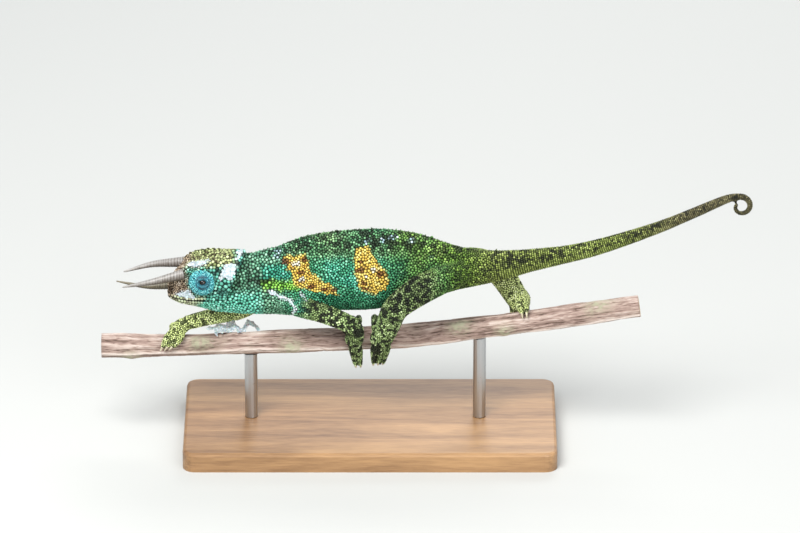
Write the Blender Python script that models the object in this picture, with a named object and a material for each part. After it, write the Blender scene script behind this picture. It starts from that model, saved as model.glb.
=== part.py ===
"""A male Jackson's chameleon, life size, walking along a cut length of branch on a plain stand.

Sizes are in millimetres and are turned into metres when a mesh is made. The head points to -X,
the animal's left side faces -Y, and the origin is the centre of the stand's underside.
"""

import math

import bmesh
import bpy
import numpy as np
from mathutils import Matrix, Vector

MM = 0.001
GAP = 0.3
SIDEWAYS = Vector((0, 1, 0))

# Centre line of neck, body and tail: x, z, half height, half width.
TRUNK = (
    (-56.0, 67.7, 14.0, 7.0),
    (-47.5, 67.8, 14.2, 7.6),
    (-38.0, 68.6, 14.6, 8.8),
    (-31.0, 69.8, 16.3, 9.8),
    (-24.0, 71.5, 16.9, 10.6),
    (-15.0, 73.0, 17.0, 11.2),
    (-6.0, 73.4, 17.4, 11.4),
    (3.0, 73.9, 17.3, 11.1),
    (12.0, 74.5, 15.9, 10.4),
    (20.0, 74.7, 14.2, 9.6),
    (28.0, 74.3, 11.6, 8.7),
    (37.0, 74.1, 8.7, 7.6),
    (47.0, 74.5, 6.9, 6.4),
    (57.0, 75.9, 5.6, 5.2),
    (64.0, 77.3, 4.7, 4.4),
    (76.2, 79.5, 3.8, 3.6),
    (88.5, 82.4, 3.4, 3.2),
    (100.7, 86.4, 3.0, 2.8),
    (112.0, 90.6, 2.6, 2.4),
    (120.2, 94.0, 2.4, 2.2),
    (132.4, 99.7, 2.2, 2.0),
    (138.6, 102.7, 2.0, 1.9),
    (143.2, 104.6, 1.8, 1.7),
)
NECK_END = 2
TORSO_END = 11
TAIL_BASE_END = 15
TAIL_MIDDLE_END = 19
TRUNK_STEPS = 2

# The neck's first ring leans back by this angle and is upright by the shoulders.
NECK_LEAN = 24.0
SHOULDER_X = -36.0
TAIL_TURN_START_X = 42.0
TAIL_TURN_END_X = 66.0

# The tail's tip rolls down and in, clockwise as seen from the animal's left.
CURL_CENTRE = (147.8, 101.0)
CURL_FROM, CURL_TO = 95.0, -225.0
CURL_RADII = (4.3, 1.6)
CURL_THICKNESS = (1.45, 0.7)
CURL_STEPS = 13

# Crest of small spines along the back and the first half of the tail. A spine's base is this
# wide and long at full size, and its tip leans back by this much.
CREST_SPACING = 2.5
CREST_HEIGHT = 0.9
CREST_START_X = -49.5
CREST_SHRINK_X = 20.0
CREST_END_X = 112.0
CREST_BASE = (1.5, 2.2)
CREST_LEAN = 0.5
SPINE_ROOT = 0.8

# Head: the ring of each station is worked out from these half widths (y) and heights (z).
# x, top z, crest y, crest z, cheek y, cheek z, lip y, lip z, jaw y, bottom z
HEAD = (
    (-81.1, 68.6, 2.1, 68.2, 2.7, 66.2, 2.4, 63.4, 2.1, 61.7),
    (-80.0, 69.4, 2.8, 69.2, 3.4, 67.2, 3.2, 63.3, 2.8, 60.6),
    (-77.8, 71.7, 3.7, 72.1, 4.3, 68.8, 4.3, 63.1, 3.8, 59.4),
    (-75.6, 74.9, 4.5, 75.8, 5.1, 70.0, 5.2, 63.0, 4.5, 58.5),
    (-72.0, 77.7, 5.0, 78.9, 6.1, 71.0, 6.2, 63.0, 5.3, 57.9),
    (-67.4, 78.9, 5.3, 80.3, 6.9, 71.5, 7.1, 63.2, 6.0, 56.8),
    (-62.5, 79.8, 5.4, 80.6, 8.0, 72.0, 7.8, 63.6, 6.6, 55.3),
    (-58.0, 81.6, 5.0, 80.6, 8.8, 72.4, 8.0, 63.8, 6.8, 54.5),
    (-54.0, 82.7, 4.0, 81.0, 8.8, 72.6, 7.9, 63.8, 6.8, 54.4),
    (-50.0, 82.6, 2.2, 81.4, 8.2, 72.6, 7.6, 63.8, 6.6, 54.2),
    (-46.0, 81.8, 1.8, 80.8, 7.6, 72.6, 7.2, 63.8, 6.4, 54.0),
)
HEAD_ROLL = 6.0
HEAD_PIVOT_Z = 68.0
HEAD_BACK_LEAN = 24.0

# Mouth line, from the tip of the snout to its corner, and the back of the lower jaw.
MOUTH = ((-84.0, 62.9), (-79.0, 62.4), (-72.0, 62.5), (-66.0, 63.3), (-62.4, 63.0))
JAW_BACK = (-64.5, 52.0)

# Raised scales of the head lie between these places, on both brows and on the casque's ridge.
BROW_SCALES_X = (-74.5, -55.5)
CASQUE_SCALES_X = (-61.0, -55.0)
HEAD_SCALE = (1.7, 1.8)

# Each nostril runs from its inner to its outer end: x, y, z and radius.
NOSTRIL = ((-78.0, 2.6, 68.2, 0.45), (-78.8, 5.6, 68.9, 0.75))
NOSTRIL_SIDES = 8

# Plain bodies that cut the head reach this far past it.
CUTTER_REACH = 40.0
CUTTER_DEPTH = 60.0
CUTTER_HALF_WIDTH = 20.0

EYE_CENTRE = (-67.0, 6.1, 71.6)
EYE_RADIUS = 5.5
EYE_FLOOR_Y = 3.4
EYE_RINGS = 9
EYE_SIDES = 20
EYEBALL_RADIUS = 1.5
EYEBALL_SHAPE = (1.0, 0.74, 0.9)
EYEBALL_REACH = 4.25
LEFT_GAZE = (0.07, -0.90, 0.42)
RIGHT_GAZE = (-0.38, 0.90, 0.12)

# The lid's opening: its rings' radius, place along the gaze, and height as a share of width.
# The ball of the lid runs on from the last ring to its back.
LID_RINGS = ((1.9, 2.6, 0.9), (1.95, 4.7, 0.7), (2.4, 5.15, 0.7), (3.1, 4.55, 0.82))
LID_BALL_RADIUS = 4.0
LID_BALL_END = 172.0

# Horns: root inside the head, bend and tip, and the radius at the root.
ROSTRAL_HORN = ((-78.4, 0.0, 66.4), (-90.0, 0.0, 65.8), (-101.7, 0.0, 68.2), 1.75)
PREOCULAR_HORN = ((-74.4, 4.8, 74.3), (-87.2, 6.9, 71.9), (-99.0, 6.0, 68.9), 2.15)
HORN_RIDGES = 12
HORN_TAPER = 0.86
RIDGE_RISE, RIDGE_FALL = 0.07, -0.03
HORN_SIDES = 9

# Branch: x, z and radius along its centre line, and its knots: x, angle, height, length.
BRANCH = (
    (-108.0, 39.6, 4.9),
    (-84.0, 39.5, 4.5),
    (-60.0, 40.3, 4.5),
    (-36.0, 41.3, 4.7),
    (0.0, 43.0, 4.8),
    (20.0, 44.3, 4.7),
    (68.0, 50.9, 4.5),
    (108.0, 57.1, 4.6),
)
KNOTS = (
    (-68.0, 60.0, 1.9, 3.4),
    (-96.0, 150.0, 0.8, 3.0),
    (-31.0, 100.0, 0.7, 3.0),
    (36.0, 40.0, 0.8, 3.4),
    (54.0, 110.0, 1.0, 2.6),
    (92.0, 20.0, 0.9, 3.2),
)
BRANCH_SIDES = 12
BRANCH_STEPS = 7

# Stand: a flat base and two round rods that reach the branch's underside.
BASE_LENGTH, BASE_WIDTH, BASE_HEIGHT = 150.0, 70.0, 8.0
BASE_CORNER, BASE_EDGE = 5.0, 1.2
ROD_RADIUS = 2.6
ROD_X = (-48.0, 44.0)

# Legs: x, y, z and radius from the root inside the body to the wrist or ankle. The fourth
# station is the elbow or knee.
LEGS = {
    "front_left": (
        (-35.0, -4.5, 63.0, 4.3),
        (-29.0, -9.6, 61.5, 4.2),
        (-18.0, -12.4, 59.4, 4.0),
        (-7.4, -13.4, 54.8, 3.7),
        (-5.6, -11.9, 49.8, 3.4),
        (-6.3, -10.0, 45.6, 3.2),
    ),
    "front_right": (
        (-32.0, 4.5, 62.0, 4.2),
        (-37.0, 9.0, 58.5, 4.0),
        (-45.5, 11.0, 53.5, 3.7),
        (-53.5, 9.6, 50.0, 3.5),
        (-65.5, 4.8, 49.7, 3.3),
        (-74.0, 0.6, 49.2, 3.0),
    ),
    "hind_left": (
        (37.0, -3.5, 74.6, 5.6),
        (30.0, -9.4, 73.8, 5.8),
        (19.0, -14.0, 70.0, 6.1),
        (10.4, -16.6, 64.0, 5.4),
        (7.4, -13.6, 55.3, 4.9),
        (4.8, -10.4, 46.8, 4.1),
    ),
    "hind_right": (
        (33.0, 3.5, 74.5, 5.2),
        (40.0, 9.6, 73.0, 5.2),
        (47.0, 13.5, 69.5, 5.6),
        (52.5, 15.0, 64.5, 5.5),
        (56.8, 11.4, 59.4, 5.1),
        (59.4, 6.8, 56.6, 4.6),
    ),
}
ELBOW = 3
LEG_STEPS = 3
LEG_SIDES = 10

# Feet: for the bundle of toes on each side of the branch, the x of its root and of its tips,
# its arc as angle from the top of the branch towards -Y and distance from its centre line,
# and its count of toes.
FEET = {
    "front_left": {
        "near": ((-6.2, -4.9), ((70, 9.4), (95, 8.7), (124, 8.5), (146, 10.6)), 2),
        "far": ((-7.4, -7.0), ((48, 9.2), (8, 8.8), (-38, 8.0), (-78, 7.0)), 3),
    },
    "front_right": {
        "near": ((-77.8, -81.2), ((26, 7.9), (42, 7.3), (56, 6.9), (68, 6.6)), 3),
        "far": ((-77.6, -79.0), ((4, 8.4), (-36, 7.8), (-76, 7.2), (-108, 6.8)), 2),
    },
    "hind_left": {
        "near": ((4.6, 3.3), ((74, 9.8), (96, 9.0), (122, 8.6), (143, 10.2)), 3),
        "far": ((3.2, 3.0), ((46, 9.6), (6, 9.0), (-40, 7.8), (-82, 7.0)), 2),
    },
    "hind_right": {
        "near": ((60.4, 61.6), ((-34, 9.2), (-10, 8.4), (12, 7.8), (30, 7.0)), 2),
        "far": ((60.0, 60.4), ((-36, 9.4), (-68, 7.8), (-104, 7.2), (-136, 6.8)), 3),
    },
}
TOE_RADII = (1.8, 1.65, 1.4, 1.0)
TOE_SPACING = (2.0, 2.6, 2.3, 2.0)
TOE_SIDES = 6
CLAW_SIDES = 5
CLAW_LENGTH = 1.9
CLAW_RADIUS = 0.5
PALM_RADIUS = 1.1
ROD_SIDES = 16
SMOOTH_ANGLE = 40.0

SKIN_GREEN = (0.10, 0.22, 0.07)
SKIN_TEAL = (0.04, 0.25, 0.20)
SKIN_OLIVE = (0.20, 0.22, 0.06)
SKIN_TAN = (0.33, 0.24, 0.13)
HORN_GREY = (0.32, 0.24, 0.21)
EYE_TEAL = (0.06, 0.38, 0.44)
EYE_DARK = (0.01, 0.008, 0.006)
BARK_BROWN = (0.25, 0.16, 0.12)
STAND_OAK = (0.36, 0.24, 0.14)
ROD_STEEL = (0.45, 0.45, 0.46)


def clear_scene():
    for obj in list(bpy.data.objects):
        bpy.data.objects.remove(obj, do_unlink=True)


def paint(obj, colour, roughness, metallic=0.0):
    material = bpy.data.materials.new(obj.name)
    material.use_nodes = True
    shader = material.node_tree.nodes["Principled BSDF"]
    shader.inputs["Base Color"].default_value = (*colour, 1.0)
    shader.inputs["Roughness"].default_value = roughness
    shader.inputs["Metallic"].default_value = metallic
    obj.data.materials.clear()
    obj.data.materials.append(material)


def spline(stations, steps):
    """Rows of a Catmull-Rom curve through the stations, whatever their columns are."""
    rows = np.array(stations, float)
    padded = np.vstack([2 * rows[0] - rows[1], rows, 2 * rows[-1] - rows[-2]])
    found = []
    for span in range(len(rows) - 1):
        before, start, end, after = padded[span : span + 4]
        for step in range(steps):
            t = step / steps
            slope = (end - before) * t
            bend = (2 * before - 5 * start + 4 * end - after) * t**2
            twist = (3 * start - before - 3 * end + after) * t**3
            found.append(0.5 * (2 * start + slope + bend + twist))
    found.append(rows[-1])
    return np.array(found)


def smooth_step(value, low, high):
    share = min(max((value - low) / (high - low), 0.0), 1.0)
    return share * share * (3 - 2 * share)


def mesh_object(name, bm):
    bmesh.ops.recalc_face_normals(bm, faces=bm.faces)
    mesh = bpy.data.meshes.new(name)
    bm.to_mesh(mesh)
    bm.free()
    obj = bpy.data.objects.new(name, mesh)
    bpy.context.scene.collection.objects.link(obj)
    return obj


def loft(name, rings):
    """One closed body through rings of equal counts of points, with a fan over each end."""
    bm = bmesh.new()
    loops = [[bm.verts.new(Vector(point) * MM) for point in ring] for ring in rings]
    count = len(loops[0])
    for first, second in zip(loops, loops[1:]):
        for i in range(count):
            j = (i + 1) % count
            bm.faces.new((first[i], first[j], second[j], second[i]))
    for end in (loops[0], loops[-1]):
        middle = bm.verts.new(sum((vert.co for vert in end), Vector()) / count)
        for i in range(count):
            bm.faces.new((end[i], end[(i + 1) % count], middle))
    return mesh_object(name, bm)


def tube_rings(rows, sides, grow=0.0):
    """Rings square to a path of x, y, z and radius, with no twist from one to the next."""
    points = [Vector(row[:3]) for row in rows]
    rings = []
    side = None
    for i, point in enumerate(points):
        along = (points[min(i + 1, len(points) - 1)] - points[max(i - 1, 0)]).normalized()
        if side is None:
            side = along.orthogonal()
        side = (side - along * side.dot(along)).normalized()
        other = along.cross(side)
        ring = []
        for k in range(sides):
            angle = math.tau * k / sides
            offset = side * math.cos(angle) + other * math.sin(angle)
            ring.append(point + offset * (rows[i][3] + grow))
        rings.append(ring)
    return rings


def shift_ends(rings, before, after):
    """Moves the first and last ring inwards along the loft by these lengths."""
    middles = [sum(ring, Vector()) / len(ring) for ring in (rings[0], rings[1], rings[-2], rings[-1])]
    forward = (middles[1] - middles[0]).normalized() * before
    backward = (middles[2] - middles[3]).normalized() * after
    rings[0] = [point + forward for point in rings[0]]
    rings[-1] = [point + backward for point in rings[-1]]
    return rings


def apply_modifiers(obj):
    graph = bpy.context.evaluated_depsgraph_get()
    mesh = bpy.data.meshes.new_from_object(obj.evaluated_get(graph))
    obj.modifiers.clear()
    old = obj.data
    obj.data = mesh
    bpy.data.meshes.remove(old)


def combine(obj, others, operation, solver="EXACT"):
    """Joins the others to the object, or cuts them from it, and removes them."""
    group = bpy.data.collections.new("pieces")
    bpy.context.scene.collection.children.link(group)
    for other in others:
        group.objects.link(other)
    boolean = obj.modifiers.new(operation, "BOOLEAN")
    boolean.operation = operation
    boolean.solver = solver
    boolean.operand_type = "COLLECTION"
    boolean.collection = group
    bpy.context.view_layer.update()
    apply_modifiers(obj)
    for other in others:
        bpy.data.objects.remove(other, do_unlink=True)
    bpy.data.collections.remove(group)
    keep_largest(obj)


def keep_largest(obj):
    """Keeps only the largest closed surface of the object."""
    bm = bmesh.new()
    bm.from_mesh(obj.data)
    bmesh.ops.triangulate(bm, faces=bm.faces)
    unseen = set(bm.verts)
    surfaces = []
    while unseen:
        stack = [unseen.pop()]
        surface = set(stack)
        while stack:
            for edge in stack.pop().link_edges:
                for vert in edge.verts:
                    if vert not in surface:
                        surface.add(vert)
                        stack.append(vert)
        unseen -= surface
        surfaces.append(surface)
    largest = max(surfaces, key=surface_volume)
    drop = [vert for vert in bm.verts if vert not in largest]
    bmesh.ops.delete(bm, geom=drop, context="VERTS")
    bm.to_mesh(obj.data)
    bm.free()


def surface_volume(verts):
    faces = {face for vert in verts for face in vert.link_faces}
    total = 0.0
    for face in faces:
        a, b, c = (vert.co for vert in face.verts)
        total += a.dot(b.cross(c)) / 6
    return abs(total)


def transform(obj, matrix):
    obj.data.transform(matrix)


def roll_matrix():
    """Turns the head's own frame towards the animal's left about a fore-and-aft axis."""
    pivot = Vector((0, 0, HEAD_PIVOT_Z)) * MM
    roll = Matrix.Rotation(math.radians(HEAD_ROLL), 4, "X")
    return Matrix.Translation(pivot) @ roll @ Matrix.Translation(-pivot)


def spine(name, root, tip, width, length):
    """A four-sided spine: its root is a rhomb this long fore and aft and this wide."""
    bm = bmesh.new()
    root, tip = Vector(root), Vector(tip)
    along = (tip - root).normalized()
    across = SIDEWAYS if abs(along.y) < 0.9 else Vector((1, 0, 0))
    fore = along.cross(across).normalized()
    across = fore.cross(along)
    corners = (fore * length / 2, across * width / 2, -fore * length / 2, -across * width / 2)
    base = [bm.verts.new((root + corner) * MM) for corner in corners]
    top = bm.verts.new(tip * MM)
    for i in range(4):
        bm.faces.new((base[i], base[(i + 1) % 4], top))
    bm.faces.new(base)
    return mesh_object(name, bm)


def trunk_rows():
    """Centre line rows down to the tail's tip: x, z, half height, half width, lean angle."""
    curl = []
    for step in range(CURL_STEPS):
        share = step / (CURL_STEPS - 1)
        angle = math.radians(CURL_FROM + (CURL_TO - CURL_FROM) * share)
        radius = CURL_RADII[1] + (CURL_RADII[0] - CURL_RADII[1]) * (1 - share) ** 0.8
        half = CURL_THICKNESS[0] + (CURL_THICKNESS[1] - CURL_THICKNESS[0]) * share
        x = CURL_CENTRE[0] + radius * math.cos(angle)
        z = CURL_CENTRE[1] + radius * math.sin(angle)
        curl.append((x, z, half, half * 0.95))
    rows = spline(TRUNK + tuple(curl), TRUNK_STEPS)
    steps = np.gradient(rows[:, :2], axis=0)
    turn = np.unwrap(np.arctan2(steps[:, 1], steps[:, 0]))
    leans = []
    for row, angle in zip(rows, turn):
        in_tail = smooth_step(row[0], TAIL_TURN_START_X, TAIL_TURN_END_X)
        in_neck = 1 - smooth_step(row[0], TRUNK[0][0], SHOULDER_X)
        leans.append(angle * in_tail - math.radians(NECK_LEAN) * in_neck)
    return np.column_stack([rows, leans])


def trunk_ring(row, sides, grow=0.0):
    """A ring of the body: narrower towards the ridge of the back, fuller along the belly."""
    x, z, half_height, half_width, lean = row
    up = Vector((-math.sin(lean), 0, math.cos(lean)))
    body_share = smooth_step(half_height, 4.0, 14.0)
    ring = []
    for k in range(sides):
        angle = math.tau * k / sides
        rise = math.cos(angle)
        pinch = 1 - 0.38 * body_share * (0.5 + 0.5 * rise) ** 2
        across = (half_width * pinch + grow) * math.sin(angle)
        ring.append(Vector((x, 0, z)) + up * (half_height + grow) * rise + SIDEWAYS * across)
    return ring


def trunk_piece(name, first, last, sides):
    rows = trunk_rows()
    last_row = len(rows) - 1 if last is None else last * TRUNK_STEPS
    rings = [trunk_ring(row, sides) for row in rows[first * TRUNK_STEPS : last_row + 1]]
    shift_ends(rings, GAP / 2, 0 if last is None else GAP / 2)
    return loft(name, rings)


def crest_spines(first_x, last_x):
    """Spines along the ridge between two places, leaning back and shrinking down the tail."""
    stations = [row for row in trunk_rows() if row[0] < CREST_END_X + CREST_SPACING]
    xs = [row[0] for row in stations]
    spines = []
    x = CREST_START_X
    count = 0
    while x < min(last_x, CREST_END_X):
        count += 1
        size = 1.0 - 0.55 * smooth_step(x, CREST_SHRINK_X, CREST_END_X)
        size *= 0.9 + 0.12 * math.sin(count * 2.4)
        if x > first_x + 0.8 and x < last_x - 1.2:
            z, half, lean = (np.interp(x, xs, [row[i] for row in stations]) for i in (1, 2, 4))
            up = Vector((-math.sin(lean), 0, math.cos(lean)))
            back = Vector((math.cos(lean), 0, math.sin(lean)))
            ridge = Vector((x, 0, z)) + up * half
            tip = ridge + up * CREST_HEIGHT * size + back * CREST_LEAN * size
            width, length = (measure * size for measure in CREST_BASE)
            spines.append(spine("crest_spine", ridge - up * SPINE_ROOT, tip, width, length))
        x += CREST_SPACING * (0.55 + 0.45 * size)
    return spines


def grown_torso():
    """The body from neck to tail, swollen by the gap, which clears the roots of the legs."""
    rows = trunk_rows()[: (TAIL_BASE_END - 1) * TRUNK_STEPS]
    return loft("body_cutter", [trunk_ring(row, 24, GAP) for row in rows])


def build_trunk():
    neck = trunk_piece("neck", 0, NECK_END, 20)
    torso = trunk_piece("torso", NECK_END, TORSO_END, 24)
    tail_base = trunk_piece("tail_base", TORSO_END, TAIL_BASE_END, 16)
    tail_middle = trunk_piece("tail_middle", TAIL_BASE_END, TAIL_MIDDLE_END, 12)
    tail_tip = trunk_piece("tail_tip", TAIL_MIDDLE_END, None, 10)
    combine(neck, crest_spines(-52.0, TRUNK[NECK_END][0]), "UNION")
    combine(torso, crest_spines(TRUNK[NECK_END][0], TRUNK[TORSO_END][0]), "UNION")
    combine(tail_base, crest_spines(TRUNK[TORSO_END][0], TRUNK[TAIL_BASE_END][0]), "UNION")
    combine(tail_middle, crest_spines(TRUNK[TAIL_BASE_END][0], TRUNK[TAIL_MIDDLE_END][0]), "UNION")
    paint(neck, SKIN_TEAL, 0.6)
    paint(torso, SKIN_GREEN, 0.6)
    for obj in (tail_base, tail_middle, tail_tip):
        paint(obj, SKIN_OLIVE, 0.6)


def head_ring(row):
    """One section of the head: roof between two crests, temple, cheek, lip, jaw and throat."""
    x, top, crest_y, crest_z, cheek_y, cheek_z, lip_y, lip_z, jaw_y, bottom = row
    half = (
        (crest_y * 0.55, top + (crest_z - top) * 0.35),
        (crest_y * 0.92, crest_z),
        (crest_y + 0.35, crest_z - 0.9),
        (crest_y + (cheek_y - crest_y) * 0.35, crest_z - (crest_z - cheek_z) * 0.36),
        (crest_y + (cheek_y - crest_y) * 0.86, cheek_z + (crest_z - cheek_z) * 0.26),
        (cheek_y, cheek_z - (cheek_z - lip_z) * 0.12),
        ((cheek_y + lip_y) / 2, (cheek_z + lip_z) / 2 - 0.4),
        (lip_y, lip_z + 0.9),
        (lip_y + 0.2, lip_z),
        (jaw_y + (lip_y - jaw_y) * 0.5, lip_z - (lip_z - bottom) * 0.28),
        (jaw_y * 0.86, lip_z - (lip_z - bottom) * 0.62),
        (jaw_y * 0.5, bottom + (lip_z - bottom) * 0.1),
    )
    left = [Vector((x, y, z)) for y, z in half]
    right = [Vector((x, -y, z)) for y, z in reversed(half)]
    return [Vector((x, 0, top))] + left + [Vector((x, 0, bottom))] + right


def slab(name, outline, half_width):
    """A solid with this outline in x and z, as wide as twice the half width."""
    bm = bmesh.new()
    face = bm.faces.new([bm.verts.new(Vector((x, -half_width, z)) * MM) for x, z in outline])
    grown = bmesh.ops.extrude_face_region(bm, geom=[face])
    moved = [item for item in grown["geom"] if isinstance(item, bmesh.types.BMVert)]
    bmesh.ops.translate(bm, verts=moved, vec=SIDEWAYS * 2 * half_width * MM)
    return mesh_object(name, bm)


def jaw_space(clearance):
    """All that lies below the mouth line and ahead of the jaw's hinge."""
    line = [(x, z + clearance) for x, z in MOUTH]
    corner = (MOUTH[-1][0] + clearance, MOUTH[-1][1] + clearance * 0.4)
    back = (JAW_BACK[0] + clearance, JAW_BACK[1])
    outline = [(line[0][0], JAW_BACK[1])] + line[:-1] + [corner, back]
    return slab("jaw_cutter", outline, CUTTER_HALF_WIDTH)


def behind_head(shift):
    """All that lies behind the head's back face, whose top leans back over the neck."""
    lean = math.radians(HEAD_BACK_LEAN)
    x, z = TRUNK[0][0] + shift, TRUNK[0][1]
    up = Vector((math.sin(lean), math.cos(lean)))
    low = Vector((x, z)) - up * CUTTER_REACH
    high = Vector((x, z)) + up * CUTTER_REACH
    behind = Vector((CUTTER_DEPTH, 0))
    outline = [tuple(corner) for corner in (low, low + behind, high + behind, high)]
    return slab("head_back_cutter", outline, CUTTER_HALF_WIDTH)


def eye_socket(side, grow):
    """The ball of the eye, cut flat towards the middle of the head, with this much room."""
    bm = bmesh.new()
    bmesh.ops.create_uvsphere(bm, u_segments=20, v_segments=12, radius=(EYE_RADIUS + grow) * MM)
    x, y, z = EYE_CENTRE
    turn = Matrix.Rotation(math.radians(90), 4, "X")
    place = Matrix.Translation(Vector((x, y * side, z)) * MM)
    bmesh.ops.transform(bm, matrix=place @ turn, verts=bm.verts)
    ball = mesh_object("eye_cutter", bm)
    floor = Vector((x, (EYE_FLOOR_Y - grow) * side, z)) * MM
    trim_half(ball, floor, Vector((0, side, 0)))
    return ball


def trim_half(obj, point, keep):
    """Keeps what lies on one side of a plane and closes the cut."""
    bm = bmesh.new()
    bm.from_mesh(obj.data)
    geom = bm.verts[:] + bm.edges[:] + bm.faces[:]
    cut = bmesh.ops.bisect_plane(bm, geom=geom, plane_co=point, plane_no=keep, clear_inner=True)
    edges = [item for item in cut["geom_cut"] if isinstance(item, bmesh.types.BMEdge)]
    bmesh.ops.contextual_create(bm, geom=edges)
    bmesh.ops.recalc_face_normals(bm, faces=bm.faces)
    bm.to_mesh(obj.data)
    bm.free()


def eye_turret(name, side, gaze):
    """A lid on a ball, drawn in to a small oval opening that faces along the gaze."""
    rings = list(LID_RINGS)
    start = math.asin(LID_BALL_RADIUS / EYE_RADIUS)
    end = math.radians(LID_BALL_END)
    for step in range(EYE_RINGS):
        angle = start + (end - start) * step / (EYE_RINGS - 1)
        rings.append((EYE_RADIUS * math.sin(angle), EYE_RADIUS * math.cos(angle), 1.0))
    forward = Vector(gaze).normalized()
    level = forward.cross(Vector((0, 0, 1))).normalized()
    rise = level.cross(forward)
    x, y, z = EYE_CENTRE
    centre = Vector((x, y * side, z))
    points = []
    for radius, reach, squash in rings:
        ring = []
        for k in range(EYE_SIDES):
            angle = math.tau * k / EYE_SIDES
            across = level * math.cos(angle) + rise * math.sin(angle) * squash
            ring.append(centre + forward * reach + across * radius)
        points.append(ring)
    turret = loft(name, points)
    trim_half(turret, Vector((x, EYE_FLOOR_Y * side, z)) * MM, Vector((0, side, 0)))
    return turret


def eyeball(name, side, gaze):
    """The dark eye itself, seen at the bottom of the lid's opening."""
    bm = bmesh.new()
    bmesh.ops.create_uvsphere(bm, u_segments=12, v_segments=8, radius=EYEBALL_RADIUS * MM)
    forward = Vector(gaze).normalized()
    x, y, z = EYE_CENTRE
    centre = Vector((x, y * side, z)) + forward * EYEBALL_REACH
    turn = forward.to_track_quat("Z", "Y").to_matrix().to_4x4()
    squash = Matrix.Diagonal((*EYEBALL_SHAPE, 1.0))
    bmesh.ops.transform(bm, matrix=Matrix.Translation(centre * MM) @ turn @ squash, verts=bm.verts)
    return mesh_object(name, bm)


def horn_rings(root, bend, tip, radius, grow=0.0):
    """Rings of a horn that tapers to a blunt tip, with a low ridge at each growth ring."""
    path = spline((root, bend, tip), HORN_RIDGES)
    rows = []
    for i, point in enumerate(path):
        share = i / (len(path) - 1)
        taper = 1 - HORN_TAPER * share
        ridge = 1 + (RIDGE_RISE if i % 2 else RIDGE_FALL) * (1 - share)
        rows.append((*point, radius * taper * ridge))
    return tube_rings(rows, HORN_SIDES, grow)


def build_horns():
    """Three horns, each seated in a socket of the head."""
    horns = {"horn_rostral": ROSTRAL_HORN}
    for name, side in (("horn_preocular_left", -1), ("horn_preocular_right", 1)):
        root, bend, tip, radius = PREOCULAR_HORN
        horns[name] = tuple((x, y * side, z) for x, y, z in (root, bend, tip)) + (radius,)
    sockets = []
    for name, (root, bend, tip, radius) in horns.items():
        horn = loft(name, horn_rings(root, bend, tip, radius))
        transform(horn, roll_matrix())
        paint(horn, HORN_GREY, 0.45)
        outward = (Vector(root) - Vector(bend)).normalized() * GAP
        wide = horn_rings(tuple(Vector(root) + outward), bend, tip, radius, GAP)
        sockets.append(loft("horn_cutter", wide))
    return sockets


def head_bumps():
    """Raised scales along both brow crests and along the ridge of the casque."""
    width, length = HEAD_SCALE
    bumps = []
    for x, top, crest_y, crest_z in spline(HEAD, 4)[::2, :4]:
        if BROW_SCALES_X[0] < x < BROW_SCALES_X[1]:
            for side in (-1, 1):
                root = (x, side * (crest_y - 0.5), crest_z - 0.7)
                tip = (x + 0.2, side * (crest_y + 0.5), crest_z + 0.35)
                bumps.append(spine("brow_scale", root, tip, width, length))
        if CASQUE_SCALES_X[0] < x < CASQUE_SCALES_X[1]:
            root, tip = (x, 0, top - 0.8), (x + 0.3, 0, top + 0.4)
            bumps.append(spine("casque_scale", root, tip, width, length))
    return bumps


def nostril_cutters():
    """Two small pits low on the sides of the snout."""
    cutters = []
    for side in (-1, 1):
        rows = [(x, y * side, z, radius) for x, y, z, radius in NOSTRIL]
        cutters.append(loft("nostril_cutter", tube_rings(rows, NOSTRIL_SIDES)))
    return cutters


def build_head():
    head = loft("head", [head_ring(row) for row in spline(HEAD, 2)])
    combine(head, head_bumps(), "UNION", "MANIFOLD")
    cutters = [eye_socket(side, GAP) for side in (-1, 1)] + nostril_cutters()
    combine(head, cutters + build_horns(), "DIFFERENCE", "MANIFOLD")
    jaw = head.copy()
    jaw.data = head.data.copy()
    jaw.name = "lower_jaw"
    bpy.context.scene.collection.objects.link(jaw)
    combine(jaw, [jaw_space(0.0)], "INTERSECT", "MANIFOLD")
    combine(head, [jaw_space(GAP)], "DIFFERENCE", "MANIFOLD")
    transform(head, roll_matrix())
    transform(jaw, roll_matrix())
    combine(head, [behind_head(-GAP / 2)], "DIFFERENCE", "MANIFOLD")
    paint(head, SKIN_TAN, 0.6)
    paint(jaw, SKIN_TEAL, 0.6)


def build_eyes():
    for name, side, gaze in (("left", -1, LEFT_GAZE), ("right", 1, RIGHT_GAZE)):
        turret = eye_turret("eye_" + name, side, gaze)
        ball = eyeball("eyeball_" + name, side, gaze)
        transform(turret, roll_matrix())
        transform(ball, roll_matrix())
        paint(turret, EYE_TEAL, 0.55)
        paint(ball, EYE_DARK, 0.1)


def branch_at(x):
    rows = spline(BRANCH, BRANCH_STEPS)
    z, radius = (float(np.interp(x, rows[:, 0], rows[:, i])) for i in (1, 2))
    return Vector((x, 0, z)), radius


def branch_rings(grow=0.0):
    """Rings of bark with knots and slow swellings along the branch."""
    rings = []
    for x, z, radius in spline(BRANCH, BRANCH_STEPS):
        ring = []
        for k in range(BRANCH_SIDES):
            angle = math.tau * k / BRANCH_SIDES
            swelling = 0.16 * math.sin(x * 0.11 + 2 * angle) + 0.1 * math.sin(x * 0.31 - 3 * angle)
            for knot_x, knot_angle, height, length in KNOTS:
                turn = math.remainder(angle - math.radians(knot_angle), math.tau)
                swelling += height * math.exp(-(((x - knot_x) / length) ** 2) - (turn / 0.5) ** 2)
            reach = radius + swelling + grow
            ring.append(Vector((x, -reach * math.sin(angle), z + reach * math.cos(angle))))
        rings.append(ring)
    return rings


def build_branch():
    branch = loft("perch_branch", branch_rings())
    paint(branch, BARK_BROWN, 0.85)


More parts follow.
